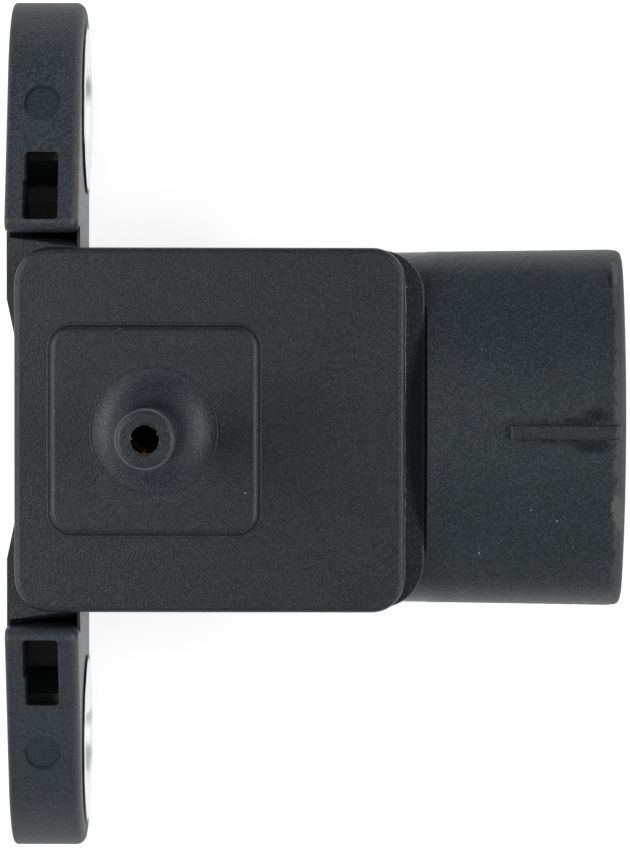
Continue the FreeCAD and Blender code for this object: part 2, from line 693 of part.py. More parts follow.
def bond_wire(side, y):
    """One loop of bond wire, of square section, from the die to the land of the cup."""
    face_y = y - WIRE_SIDE / 2
    start = point(PORT_X + side * (DIE_SIDE / 2 - WIRE_DIE_INSET), face_y, DIE_TOP_Z)
    end = point(PORT_X + side * (CUP_LAND_R + WIRE_LAND_OUT), face_y, LAND_Z)
    crest = point((start.x + end.x) / 2, face_y, DIE_TOP_Z + WIRE_RISE)
    outside = end + point(side * WIRE_SIDE, 0, 0)
    inside = start - point(side * WIRE_SIDE, 0, 0)
    loop = Part.Wire([
        Part.Arc(start, crest, end).toShape(),
        Part.LineSegment(end, outside).toShape(),
        Part.Arc(outside, crest + point(0, 0, WIRE_SIDE), inside).toShape(),
        Part.LineSegment(inside, start).toShape(),
    ])
    return Part.Face(loop).extrude(point(0, WIRE_SIDE, 0))


def bond_wires():
    """The bond wires as one group, trimmed where they land."""
    wires = Part.makeCompound([bond_wire(side, y) for side in (-1, 1) for y in WIRE_ROWS])
    return wires.cut(pressure_die()).cut(cell_cup())


def cell_gel():
    """The clear gel that covers the die and fills the cup to just below its rim."""
    inner_r = CUP_R - CUP_WALL
    top_z = CUP_RIM_Z - GEL_BELOW_RIM
    fill = turned([
        (0, BOARD_TOP_Z + CUP_FLOOR), (CUP_LAND_R, BOARD_TOP_Z + CUP_FLOOR), (CUP_LAND_R, LAND_Z),
        (inner_r, LAND_Z), (inner_r, top_z), (0, top_z),
    ], PORT_X)
    die_and_glass = square_block(PEDESTAL_SIDE, BOARD_TOP_Z + CUP_FLOOR, DIE_Z).fuse(
        square_block(DIE_SIDE, DIE_Z, DIE_TOP_Z))
    return fill.cut(die_and_glass).cut(bond_wires())


def port_seal():
    """The soft ring pressed between the rim of the cell and the tube of the cover."""
    ring = cylinder(CUP_R, PORT_X, 0, CUP_RIM_Z, TUBE_END_Z)
    ring = ring.cut(cylinder(SEAL_HOLE_R, PORT_X, 0, CUP_RIM_Z, TUBE_END_Z))
    edges = edges_in_plane(ring, "z", CUP_RIM_Z) + edges_in_plane(ring, "z", TUBE_END_Z)
    return ring.makeChamfer(SEAL_CHAMFER, edges)


def nipple():
    """The hose nipple, flared at its foot and beaded at its tip, turned about the port axis."""
    barrel_r = NIPPLE_D / 2
    bead_r = BEAD_D / 2
    foot = PAD_TOP_Z
    tip = NIPPLE_TIP_Z
    bore_r = PORT_BORE_D / 2
    flare_r = NIPPLE_FLARE_R - NIPPLE_FOOT_STEP
    flare_w = flare_r - barrel_r
    slope = 1 - math.sqrt(0.5)

    def at(r, z):
        return point(PORT_X + r, 0, z)

    flare_foot = foot + NIPPLE_FOOT_H
    flare_rise = NIPPLE_FLARE_H - NIPPLE_FOOT_H
    flare_top = foot + NIPPLE_FLARE_H
    bead_foot = tip - BEAD_LEN
    round_mid = TIP_R * slope
    inner_z = COVER_TOP_Z - PAD_H
    outline = Part.Wire([
        Part.LineSegment(at(bore_r, inner_z), at(NIPPLE_FLARE_R, inner_z)).toShape(),
        Part.LineSegment(at(NIPPLE_FLARE_R, inner_z), at(NIPPLE_FLARE_R, flare_foot)).toShape(),
        Part.LineSegment(at(NIPPLE_FLARE_R, flare_foot), at(flare_r, flare_foot)).toShape(),
        Part.Arc(at(flare_r, flare_foot),
                 at(barrel_r + flare_w * slope, flare_foot + flare_rise * slope),
                 at(barrel_r, flare_top)).toShape(),
        Part.LineSegment(at(barrel_r, flare_top), at(barrel_r, bead_foot - BEAD_TAPER)).toShape(),
        Part.LineSegment(at(barrel_r, bead_foot - BEAD_TAPER), at(bead_r, bead_foot)).toShape(),
        Part.LineSegment(at(bead_r, bead_foot), at(bead_r, tip - TIP_R)).toShape(),
        Part.Arc(at(bead_r, tip - TIP_R), at(bead_r - round_mid, tip - round_mid),
                 at(bead_r - TIP_R, tip)).toShape(),
        Part.LineSegment(at(bead_r - TIP_R, tip), at(bore_r + TIP_CHAMFER, tip)).toShape(),
        Part.LineSegment(at(bore_r + TIP_CHAMFER, tip), at(bore_r, tip - TIP_CHAMFER)).toShape(),
        Part.LineSegment(at(bore_r, tip - TIP_CHAMFER), at(bore_r, inner_z)).toShape(),
    ])
    return Part.Face(outline).revolve(point(PORT_X, 0, 0), point(0, 0, 1), 360)


def cover_plate(inset, z0, z1, edge_r):
    """The plan of the cover drawn in by an inset, between two heights, with its upper edge rounded."""
    x0 = COVER_X0 + inset
    x1 = COVER_END_X - inset
    half_y = COVER_HALF_Y - inset
    plate = block(x0, x1, -half_y, half_y, z0, z1)
    plate = round_upright(plate, [(x0, y) for y in (-half_y, half_y)], COVER_FLANGE_R - inset)
    plate = round_upright(plate, [(x1, y) for y in (-half_y, half_y)], COVER_FAR_R - inset)
    return plate.makeFillet(edge_r, edges_in_plane(plate, "z", z1))


def port_cover():
    """The cover moulding: stepped plate, raised pad, nipple, glue tongue, inner tube and stiffening ribs."""
    plate = cover_plate(0, BOX_TOP_Z, COVER_TOP_Z - COVER_STEP_H, COVER_EDGE_R)
    face = cover_plate(COVER_STEP_IN, BOX_TOP_Z + COVER_T / 2, COVER_TOP_Z, COVER_STEP_R)
    half = PAD_SIDE / 2
    foot = slab(PORT_X - half, PORT_X + half, half, COVER_TOP_Z - PAD_H, COVER_TOP_Z + PAD_FOOT_H, PAD_R)
    half = PAD_SIDE / 2 - PAD_FOOT_STEP
    pad = slab(PORT_X - half, PORT_X + half, half, COVER_TOP_Z - PAD_H, PAD_TOP_Z, PAD_R - PAD_FOOT_STEP)
    pad = pad.makeFillet(PAD_EDGE_R, edges_in_plane(pad, "z", PAD_TOP_Z))
    margin = (GROOVE_W - TONGUE_W) / 2
    tongue = rim_ring(RIM_LAND + margin, TONGUE_W, BOX_TOP_Z - TONGUE_H, BOX_TOP_Z + COVER_T / 2)
    tube = cylinder(CUP_R, PORT_X, 0, TUBE_END_Z, BOX_TOP_Z + COVER_T / 2)
    half_rib = COVER_RIB_T / 2
    rib_z = BOX_TOP_Z - COVER_RIB_H
    clear = BOARD_GAP
    long_rib = block(CHAMBER_X0 + clear, CHAMBER_X1 - clear, -half_rib, half_rib, rib_z, BOX_TOP_Z + COVER_T / 2)
    cross_rib = block(PORT_X - half_rib, PORT_X + half_rib, -CHAMBER_HALF_Y + clear, CHAMBER_HALF_Y - clear,
                      rib_z, BOX_TOP_Z + COVER_T / 2)
    cover = plate.multiFuse([face, foot, pad, nipple(), tongue, tube, long_rib, cross_rib])
    cover = cover.cut(cylinder(PORT_BORE_D / 2, PORT_X, 0, TUBE_END_Z - OVERCUT, PAD_TOP_Z))
    cover = cover.cut(cylinder(TUBE_HOLE_R, PORT_X, 0, TUBE_END_Z - OVERCUT, BOX_TOP_Z - TUBE_ROOF_T))
    return cover.removeSplitter()


def cover_adhesive():
    """The bead of adhesive that fills the groove round the tongue."""
    fill = rim_ring(RIM_LAND, GROOVE_W, BOX_TOP_Z - GROOVE_DEPTH, BOX_TOP_Z)
    margin = (GROOVE_W - TONGUE_W) / 2
    return fill.cut(rim_ring(RIM_LAND + margin, TONGUE_W, BOX_TOP_Z - TONGUE_H, BOX_TOP_Z))


def chip_part(size, cap, from_port, y):
    """A small two-ended part on the board, with end caps that stand slightly proud."""
    length, wide, tall = size
    x = PORT_X + from_port
    ends = []
    for x0 in (x - length / 2, x + length / 2 - cap):
        ends.append(block(x0, x0 + cap, y - wide / 2, y + wide / 2, BOARD_TOP_Z, BOARD_TOP_Z + tall))
    inner = block(x - length / 2 + cap / 2, x + length / 2 - cap / 2, y - wide / 2 + CAP_STEP,
                  y + wide / 2 - CAP_STEP, BOARD_TOP_Z + CAP_STEP, BOARD_TOP_Z + tall - CAP_STEP)
    return inner.multiFuse(ends).removeSplitter()


def signal_chip():
    """The leadless signal chip, with a sunk mark for its first contact."""
    half = CHIP_SIDE / 2
    x = PORT_X + COLUMN_FROM_PORT
    y = CHIP_EDGE_GAP + half - BOARD_HALF_Y
    body = block(x - half, x + half, y - half, y + half, BOARD_TOP_Z, BOARD_TOP_Z + CHIP_T)
    inset = CHIP_SIDE / 6
    mark = cylinder(inset / 2, x - half + inset, y - half + inset, BOARD_TOP_Z + CHIP_T - CHIP_PAD_T,
                    BOARD_TOP_Z + CHIP_T + OVERCUT)
    return body.cut(mark)


def board_parts():
    """The capacitors and resistors by name."""
    parts = {}
    for index, name in enumerate(CAPACITOR_NAMES):
        y = BOARD_HALF_Y - CAPACITOR_EDGE_GAP - CAPACITOR[1] / 2 - index * CAPACITOR_PITCH
        parts[name] = chip_part(CAPACITOR, CAPACITOR_CAP, COLUMN_FROM_PORT, y)
    outer_y = BOARD_HALF_Y - RESISTOR_EDGE_GAP - RESISTOR[1] / 2
    pair_from_port = COLUMN_FROM_PORT + CHIP_SIDE / 2 + PAIR_CHIP_GAP + RESISTOR[0] / 2
    places = {
        "gain_resistor": (pair_from_port, -PAIR_HALF_PITCH),
        "offset_resistor": (pair_from_port, PAIR_HALF_PITCH),
        "pull_up_resistor": (RESISTOR_FROM_PORT, outer_y),
        "load_resistor": (RESISTOR_FROM_PORT, -outer_y),
    }
    for name, (from_port, y) in places.items():
        parts[name] = chip_part(RESISTOR, RESISTOR_CAP, from_port, y)
    return parts


def all_parts():
    """Every piece by its name."""
    parts = {
        "housing": housing(),
        "port_cover": port_cover(),
        "cover_adhesive": cover_adhesive(),
        "upper_bushing": bushing(1),
        "lower_bushing": bushing(-1),
        "terminal_sealant": terminal_sealant(),
        "circuit_board": circuit_board(),
        "cell_cup": cell_cup(),
        "glass_pedestal": glass_pedestal(),
        "pressure_die": pressure_die(),
        "bond_wires": bond_wires(),
        "cell_gel": cell_gel(),
        "port_seal": port_seal(),
        "signal_chip": signal_chip(),
    }
    for index, name in enumerate(TERMINAL_NAMES):
        parts[name + "_terminal"] = terminal(index)
        parts[name + "_solder"] = solder_joint(index)
    parts.update(board_parts())
    return parts


def main():
    os.makedirs("parts", exist_ok=True)
    for name, shape in all_parts().items():
        shape.exportStep("parts/" + name + ".step")
        box = shape.BoundBox
        print(name, "solids", len(shape.Solids), "valid", shape.isValid(), "volume", round(shape.Volume, 2),
              "box", [round(v, 2) for v in (box.XMin, box.YMin, box.ZMin, box.XMax, box.YMax, box.ZMax)])


main()
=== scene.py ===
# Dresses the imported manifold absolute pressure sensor: finishes, small moulding details, stage and camera.

import json
import math

import bmesh
import bpy
from bpy.props import FloatProperty, FloatVectorProperty, PointerProperty
from bpy.types import Operator, Panel, PropertyGroup
from mathutils import Matrix, Vector


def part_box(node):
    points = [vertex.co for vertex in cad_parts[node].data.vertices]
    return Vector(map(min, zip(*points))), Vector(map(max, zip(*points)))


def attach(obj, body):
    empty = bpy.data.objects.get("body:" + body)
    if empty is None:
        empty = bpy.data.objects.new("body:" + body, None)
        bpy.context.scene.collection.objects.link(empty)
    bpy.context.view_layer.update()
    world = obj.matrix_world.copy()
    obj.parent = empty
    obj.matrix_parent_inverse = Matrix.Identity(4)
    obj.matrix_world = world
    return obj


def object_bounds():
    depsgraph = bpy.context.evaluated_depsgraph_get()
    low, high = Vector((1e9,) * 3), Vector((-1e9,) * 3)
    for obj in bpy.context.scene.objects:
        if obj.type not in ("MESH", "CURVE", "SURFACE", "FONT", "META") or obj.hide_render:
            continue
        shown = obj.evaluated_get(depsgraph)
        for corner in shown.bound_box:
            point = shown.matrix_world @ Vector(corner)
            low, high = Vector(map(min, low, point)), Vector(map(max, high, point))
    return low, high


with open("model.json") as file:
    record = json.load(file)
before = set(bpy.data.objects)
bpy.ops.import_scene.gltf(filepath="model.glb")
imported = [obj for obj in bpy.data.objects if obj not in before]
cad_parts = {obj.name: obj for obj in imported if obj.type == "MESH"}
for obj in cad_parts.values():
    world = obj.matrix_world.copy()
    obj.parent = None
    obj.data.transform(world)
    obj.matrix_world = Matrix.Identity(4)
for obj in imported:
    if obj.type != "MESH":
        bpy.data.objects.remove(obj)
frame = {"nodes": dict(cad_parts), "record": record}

bl_info = {
    "name": "Pressure Sensor Dressing",
    "version": (1, 0, 0),
    "blender": (4, 5, 0),
    "location": "3D View > Sidebar > Sensor",
    "description": "Finishes, moulding details and stage for a manifold absolute pressure sensor",
    "category": "Object",
}

NODES = frame["nodes"]
CAD_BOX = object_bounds()
MOUNTS = {mount["name"]: mount for mount in frame["record"]["mounts"]}
PORT = Vector(MOUNTS["port_nipple"]["pos_m"])
SHROUD_Z = MOUNTS["connector"]["pos_m"][2]
MM = 0.001

# The photograph's frame, in pixels, and the camera that its edges give
PHOTO_WIDTH = 630
PHOTO_HEIGHT = 850
PLUMB_PIXEL = (294.5, 290.0)
AXIS_PIXEL_Y = 425.1
PLUMB_X = 23.9 * MM

# Places on the CAD model that the finishes and the details start from
PAD_TOP_Z = 13.65 * MM
GUIDE_RIB_Y = -0.15 * MM
GUIDE_RIB_CROWN_X = (43 * MM, 50 * MM)
GUIDE_RIB_END_X = 50.95 * MM
SLOT_EDGE = (Vector((0.27, 15.83, 10.0)) * MM, Vector((5.83, 15.03, 10.0)) * MM)
MOUTH_BAND_X = 50.44 * MM
PIN_MARK = (2.93 * MM, 27.05 * MM)
PIN_MARK_R = 1.45 * MM

# Where dulling and painted light set in or fade on the housing: distances from its middle plane, and X on the
# shroud
EAR_ROOT = (16.2 * MM, 18 * MM)
EAR_TIP = (30 * MM, 34.5 * MM)
SHROUD_SIDE = (10.5 * MM, 14 * MM)
SHROUD_BACK_X = (35 * MM, 36 * MM)
POCKET_WALL = (17.35 * MM, 17.5 * MM)
POCKET_STEP = (19.9 * MM, 20.3 * MM)

# The painted light in the upper pocket and the painted glints on the flare: half sizes, and the pocket's
# centre
POCKET_SIZE = (2.4 * MM, 5.2 * MM, 8 * MM)
POCKET_CENTRE = (2.9 * MM, 20.6 * MM, 2 * MM)
FLARE_SIZE = (5.2 * MM, 5.2 * MM, 8 * MM)

# The side lamps, each with how many lamp heights it stands aside and its place along the ears
LAMPS = (("left_lamp", -0.72, 0.03), ("right_lamp", 1, 0.02))
LAMP_SIZE = (0.24, 0.16)

# The range that noise hardly leaves, and the part of it that shows as the ears' painted light, in grains
NOISE_RANGE = (0.3, 0.7)
EAR_LIGHT_RANGE = (0.42, 0.62)

# The half size, in metres, of a mark that runs right through the piece
RIGHT_THROUGH = 1.0

# Colours of the scuffs and the dirt, and of the painted light and shade
# Scuffs on the mouth's band, paler also as a painted highlight on the rim's rounding
SCUFF_AND_HIGHLIGHT = (0.05, 0.054, 0.058)
CHIPPED = (0.1, 0.1, 0.1)
# Dark smudge colour, also painted shade along the guide rib's feet
SMUDGE_AND_SHADE = (0.004, 0.005, 0.006)
# Painted light on the ears
EAR_PAINTED_LIGHT = (0.054, 0.064, 0.075)
# Painted glints on the nipple's flare
FLARE_GLINT = (0.052, 0.06, 0.078)
# Painted light in the pockets
POCKET_LIGHT = (0.19, 0.19, 0.18)
PIN_MARK_FACE = (0.014, 0.0205, 0.028)
# Painted shadow in the pin marks' outer crescents
PIN_MARK_SHADOW = (0.003, 0.0035, 0.004)
# Painted reflection of the shaded floor in the bushings' faces
REFLECTED_SHADE = (0.26, 0.26, 0.25)

# Dark patches on the housing, grease and painted shade along the guide rib's feet, each with its centre and
# its half sizes
SMUDGE_AND_SHADE_PATCHES = (
    ((48.9 * MM, 1.2 * MM, 11.6 * MM), (1.2 * MM, 0.68 * MM, 1.5 * MM)),
    ((47.3 * MM, 0.8 * MM, 11.6 * MM), (1.5 * MM, 0.3 * MM, 1.5 * MM)),
    ((48.4 * MM, -1.25 * MM, 11.6 * MM), (1.9 * MM, 0.55 * MM, 1.5 * MM)),
    ((46.2 * MM, -0.15 * MM, 11.6 * MM), (4.9 * MM, 0.88 * MM, 1.5 * MM)),
    ((50.2 * MM, 12.65 * MM, 9.0 * MM), (0.22 * MM, 0.6 * MM, 4.0 * MM)),
)

# Pale chips in the mouth's rim, each with its centre and its half sizes
CHIPS = (
    ((50.62 * MM, 13.0 * MM, 9.0 * MM), (0.34 * MM, 0.95 * MM, 4.0 * MM)),
    ((50.7 * MM, -6.7 * MM, 10.5 * MM), (0.5 * MM, 1.4 * MM, 4.0 * MM)),
)

# Painted reflection of the shaded floor: grey patches below the bushings' holes, each with its place along
# the ears and its half width
REFLECTED_SHADE_PATCHES = ((28.95 * MM, 0.9 * MM), (-25.4 * MM, 0.6 * MM), (-28.8 * MM, 1.0 * MM))

# Where the photograph shows dust, an amber smear in the bore, and small burrs with painted glints, in its
# pixels
DUST_PIXELS = (
    (120, 329), (407, 287), (479, 553), (482, 349), (54, 411), (245, 493), (573, 547), (531, 510), (557, 521),
)
AMBER_PIXELS = ((135, 445), (138, 448), (142, 451), (149, 428))
BURR_AND_GLINT_PIXELS = ((22, 201), (25, 175), (23, 187), (129, 440), (157, 447), (137, 426), (164, 425), (167, 430))


class SensorPlastic(PropertyGroup):
    colour: FloatVectorProperty(
        name="Plastic", description="Colour of the black moulding", subtype="COLOR",
        size=3, min=0, max=1, default=(0.0112, 0.0185, 0.0245))
    roughness: FloatProperty(
        name="Roughness", description="How dull the moulding is", min=0, max=1, default=0.38)
    grain_size: FloatProperty(
        name="Grain size", description="Width of the spark-eroded grain", unit="LENGTH",
        min=0.00001, default=0.15 * MM)
    grain_depth: FloatProperty(
        name="Grain depth", description="Height of the grain", unit="LENGTH",
        min=0, default=0.045 * MM)
    fleck_size: FloatProperty(
        name="Fleck size", description="Width of the single pale flecks in the grain", unit="LENGTH",
        min=0.00001, default=0.1 * MM)
    speckle: FloatProperty(
        name="Speckle", description="How far the grain lightens and darkens the colour",
        min=0, max=1, default=0.62)


class SensorMetal(PropertyGroup):
    colour: FloatVectorProperty(
        name="Steel", description="Colour of the plated bushings", subtype="COLOR",
        size=3, min=0, max=1, default=(0.86, 0.865, 0.86))
    roughness: FloatProperty(
        name="Roughness", description="How dull the plating is", min=0, max=1, default=0.32)


class SensorDetail(PropertyGroup):
    flash_height: FloatProperty(
        name="Flash height", description="How far the moulding's flash stands over a bushing's face",
        unit="LENGTH", min=0, default=0.07 * MM)
    flash_width: FloatProperty(
        name="Flash width", description="Width of the flash round a bushing", unit="LENGTH",
        min=0.00001, default=0.26 * MM)
    bore: FloatProperty(
        name="Bore", description="Width of the nipple's bore", unit="LENGTH", min=0.0001, default=2.36 * MM)
    bore_flash: FloatProperty(
        name="Bore flash", description="Thickness of the ragged lip at the bore's mouth", unit="LENGTH",
        min=0.00001, default=0.15 * MM)
    flare_ring: FloatProperty(
        name="Flare ring", description="Width of the fine ring at the foot of the nipple's flare",
        unit="LENGTH", min=0.001, default=10.4 * MM)
    pad_bead: FloatProperty(
        name="Pad bead", description="Outer width of the fine bead at the foot of the square pad",
        unit="LENGTH", min=0.001, default=17.76 * MM)
    squeeze: FloatProperty(
        name="Squeeze-out", description="Height of the adhesive that shows at the cover's foot",
        unit="LENGTH", min=0.00001, default=0.26 * MM)
    slot_lip: FloatProperty(
        name="Slot lip", description="Width of the rounded lip at the slot beside each ear",
        unit="LENGTH", min=0.0001, default=0.75 * MM)
    rib_start: FloatProperty(
        name="Rib start", description="Where the guide rib on the shroud begins", unit="LENGTH",
        default=41.72 * MM)
    rib_width: FloatProperty(
        name="Rib width", description="Width of the guide rib", unit="LENGTH", min=0.0001, default=1.19 * MM)
    line_width: FloatProperty(
        name="Parting line", description="Width of the mould's parting line on the shroud", unit="LENGTH",
        min=0.00001, default=0.14 * MM)
    line_height: FloatProperty(
        name="Line height", description="How far the parting line stands out", unit="LENGTH",
        min=0, default=0.025 * MM)
    speck: FloatProperty(
        name="Speck", description="Width of a dust speck or a small burr", unit="LENGTH",
        min=0.00001, default=0.15 * MM)


class SensorStudio(PropertyGroup):
    distance: FloatProperty(
        name="Camera distance", description="Height of the camera over the bolt holes' plane",
        unit="LENGTH", min=0.05, default=330 * MM)
    pixel: FloatProperty(
        name="Pixel size", description="Width of one photograph pixel on the bolt holes' plane",
        unit="LENGTH", min=0.000001, default=0.0857 * MM)
    roll: FloatProperty(
        name="Roll", description="Turn of the picture, which the sensor's own level lines show",
        unit="ROTATION", default=0.0018)
    floor_side: FloatProperty(
        name="Floor side", description="Side of the pale floor", unit="LENGTH", min=0.1, default=4.0)
    floor_colour: FloatVectorProperty(
        name="Floor", description="Colour of the floor", subtype="COLOR",
        size=3, min=0, max=1, default=(0.5, 0.5, 0.5))
    floor_lift: FloatProperty(
        name="Floor lift", description="Light that the floor adds where the camera sees it",
        min=0, default=0.76)
    side_power: FloatProperty(
        name="Side lamps", description="Power of each side lamp", subtype="POWER", min=0, default=1.15)
    lamp_height: FloatProperty(
        name="Lamp height", description="Height of the side lamps over the floor", unit="LENGTH",
        min=0.1, default=0.42)
    sky_side: FloatProperty(
        name="Sky at the sides", description="Brightness of the surround beyond the flange and the socket",
        min=0, default=1.2)
    sky_end: FloatProperty(
        name="Sky at the ears", description="Brightness of the surround beyond the two ears",
        min=0, default=0.3)
    sky_tilt: FloatProperty(
        name="Sky tilt",
        description="How much brighter the surround is beyond the lower ear than beyond the upper",
        default=0.12)
    sky_high: FloatProperty(
        name="Sky overhead", description="Brightness straight above", min=0, default=0.1)


def new_finish(name):
    """A new material, its node tree and its shader."""
    material = bpy.data.materials.new(name)
    material.use_nodes = True
    return material, material.node_tree, material.node_tree.nodes["Principled BSDF"]


def place_texture(tree):
    """Object coordinates, in metres of the sensor's own frame."""
    return tree.nodes.new("ShaderNodeTexCoord").outputs["Object"]


def along(tree, where, axis):
    """One of a place's three coordinates: X, Y or Z."""
    node = tree.nodes.new("ShaderNodeSeparateXYZ")
    tree.links.new(where, node.inputs[0])
    return node.outputs[axis]


def noise(tree, where, size, detail=2.0, roughness=0.5):
    """Even noise whose blobs are about as wide as the given size."""
    node = tree.nodes.new("ShaderNodeTexNoise")
    node.inputs["Scale"].default_value = 1 / size
    node.inputs["Detail"].default_value = detail
    node.inputs["Roughness"].default_value = roughness
    tree.links.new(where, node.inputs["Vector"])
    return node.outputs["Fac"]


def figure(tree, operation, *values):
    """A value worked out of others, in which a plain number is the same all over."""
    node = tree.nodes.new("ShaderNodeMath")
    node.operation = operation
    for socket, value in zip(node.inputs, values):
        if isinstance(value, float):
            socket.default_value = value
        else:
            tree.links.new(value, socket)
    return node.outputs[0]


def vector_figure(tree, operation, *values):
    """A node that works on places, in which a tuple is the same all over."""
    node = tree.nodes.new("ShaderNodeVectorMath")
    node.operation = operation
    for socket, value in zip(node.inputs, values):
        if isinstance(value, tuple):
            socket.default_value = value
        else:
            tree.links.new(value, socket)
    return node


def add(tree, first, second):
    """The sum of two values."""
    return figure(tree, "ADD", first, second)


def least(tree, first, second):
    """The lower of two values."""
    return figure(tree, "MINIMUM", first, second)


def remap(tree, value, low, high, to_low=0.0, to_high=1.0):
    """Stretches one range of a value onto another, and stops at its ends."""
    node = tree.nodes.new("ShaderNodeMapRange")
    node.inputs["From Min"].default_value = low
    node.inputs["From Max"].default_value = high
    node.inputs["To Min"].default_value = to_low
    node.inputs["To Max"].default_value = to_high
    tree.links.new(value, node.inputs["Value"])
    return node.outputs["Result"]


def strongest(tree, values, most=1.0):
    """The greatest of several values from 0 to 1, scaled."""
    reached = values[0]
    for value in values[1:]:
        reached = figure(tree, "MAXIMUM", reached, value)
    return remap(tree, reached, 0.0, 1.0, 0.0, most)


def flecks(tree, where, size):
    """A different value from 0 to 1 for each fleck of the given width, with most flecks low."""
    node = tree.nodes.new("ShaderNodeTexVoronoi")
    node.inputs["Scale"].default_value = 1 / size
    tree.links.new(where, node.inputs["Vector"])
    split = tree.nodes.new("ShaderNodeSeparateColor")
    tree.links.new(node.outputs["Color"], split.inputs[0])
    return figure(tree, "POWER", split.outputs[0], 2.5)


def mix_colours(tree, share, first, second):
    """Mixes a colour, or a finish made so far, with a plain colour, by a share from 0 to 1."""
    node = tree.nodes.new("ShaderNodeMix")
    node.data_type = "RGBA"
    tree.links.new(share, node.inputs["Factor"])
    if isinstance(first, bpy.types.NodeSocket):
        tree.links.new(first, node.inputs[6])
    else:
        node.inputs[6].default_value = (*first, 1)
    node.inputs[7].default_value = (*second, 1)
    return node.outputs[2]


def blot(tree, where, centre, size, lump=0.8 * MM, uneven=0.3, soft=0.15):
    """1 inside an uneven oval with the given half sizes round a place, and 0 outside it."""
    place = tree.nodes.new("ShaderNodeMapping")
    place.vector_type = "TEXTURE"
    place.inputs["Location"].default_value = centre
    place.inputs["Scale"].default_value = size
    tree.links.new(where, place.inputs["Vector"])
    far = vector_figure(tree, "LENGTH", place.outputs["Vector"])
    wander = remap(tree, noise(tree, where, lump, 3.0), *NOISE_RANGE, -uneven, uneven)
    return remap(tree, add(tree, far.outputs["Value"], wander), 1.0 - soft, 1.0 + soft, 1.0, 0.0)


def rim(tree, where, centre, radius, near):
    """A thin uneven ring round a place, on the side where another place lies."""
    inner = 0.9 * radius
    edge = 0.03
    disc = blot(tree, where, centre, (radius, radius, RIGHT_THROUGH), uneven=edge, soft=edge)
    hole = blot(tree, where, centre, (inner, inner, RIGHT_THROUGH), uneven=edge, soft=edge)
    ring = least(tree, disc, remap(tree, hole, 0.0, 1.0, 1.0, 0.0))
    side = blot(tree, where, near, (1.1 * radius, inner, RIGHT_THROUGH), uneven=0.3, soft=0.3)
    return least(tree, ring, side)


def bump(tree, height, depth):
    """A bump of the given real depth."""
    node = tree.nodes.new("ShaderNodeBump")
    node.inputs["Strength"].default_value = 1.0
    node.inputs["Distance"].default_value = depth
    tree.links.new(height, node.inputs["Height"])
    return node.outputs["Normal"]


def shade(colour, factor):
    """A lighter or darker version of a colour."""
    return tuple(min(1.0, channel * factor) for channel in colour)


def grained_plastic(name, plastic, tone=1.0, marks_and_light=None):
    """Black moulding: spark-eroded grain, faint clouding, an uneven sheen, and the scuffs, marks and painted
    light and shade of its own piece.
    """
    material, tree, shader = new_finish(name)
    where = place_texture(tree)
    clouds = remap(tree, noise(tree, where, 30 * plastic.grain_size, 3.0), 0.35, 0.65, -0.05, 0.05)
    grain = noise(tree, where, plastic.grain_size, 3.0, 0.6)
    tint = add(tree, remap(tree, grain, *NOISE_RANGE, -0.12, 0.12), clouds)
    tint = add(tree, tint, flecks(tree, where, plastic.fleck_size))
    dark = shade(plastic.colour, (1 - 0.7 * plastic.speckle) * tone)
    pale = Vector(shade(plastic.colour, (1 + 2.4 * plastic.speckle) * tone))
    grey = Vector((sum(pale) / 3,) * 3)
    base = mix_colours(tree, tint, dark, tuple(pale.lerp(grey, 0.5)))
    sheen = remap(tree, grain, *NOISE_RANGE, plastic.roughness + 0.1, plastic.roughness - 0.1)
    if marks_and_light is not None:
        base, sheen = marks_and_light(tree, where, base, sheen)
    tree.links.new(base, shader.inputs["Base Color"])
    tree.links.new(sheen, shader.inputs["Roughness"])
    tree.links.new(bump(tree, grain, plastic.grain_depth), shader.inputs["Normal"])
    return material


def mouth_scuff_and_highlight(tree, where, base, sheen):
    """The scuffed band at the shroud's mouth, paler also as a painted highlight on the rim's rounding, and
    the chips in it.
    """
    ragged = remap(tree, noise(tree, where, 0.9 * MM, 4.0, 0.6), *NOISE_RANGE, -0.35 * MM, 0.35 * MM)
    reach = add(tree, along(tree, where, "X"), ragged)
    band = remap(tree, reach, MOUTH_BAND_X - 0.05 * MM, MOUTH_BAND_X + 0.1 * MM)
    # Painted highlight and scuffs: the band is paler than the moulding
    base = mix_colours(tree, strongest(tree, [band], 0.85), base, SCUFF_AND_HIGHLIGHT)
    chips = [blot(tree, where, centre, size, 0.5 * MM, 0.5) for centre, size in CHIPS]
    base = mix_colours(tree, strongest(tree, chips, 0.7), base, CHIPPED)
    return base, add(tree, sheen, remap(tree, band, 0.0, 1.0, 0.0, 0.14))


def flare_glints(tree, where, base, sheen):
    """Painted glints: pale dots in the grain of the nipple's flare."""
    glints = remap(tree, noise(tree, where, 0.2 * MM, 2.0, 0.6), 0.5, 0.64, 0.0, 0.42)
    flare = blot(tree, where, (PORT.x, PORT.y, PAD_TOP_Z), FLARE_SIZE, uneven=0.1)
    # Painted glints: pale dots over the flare
    return mix_colours(tree, least(tree, glints, flare), base, FLARE_GLINT), sheen


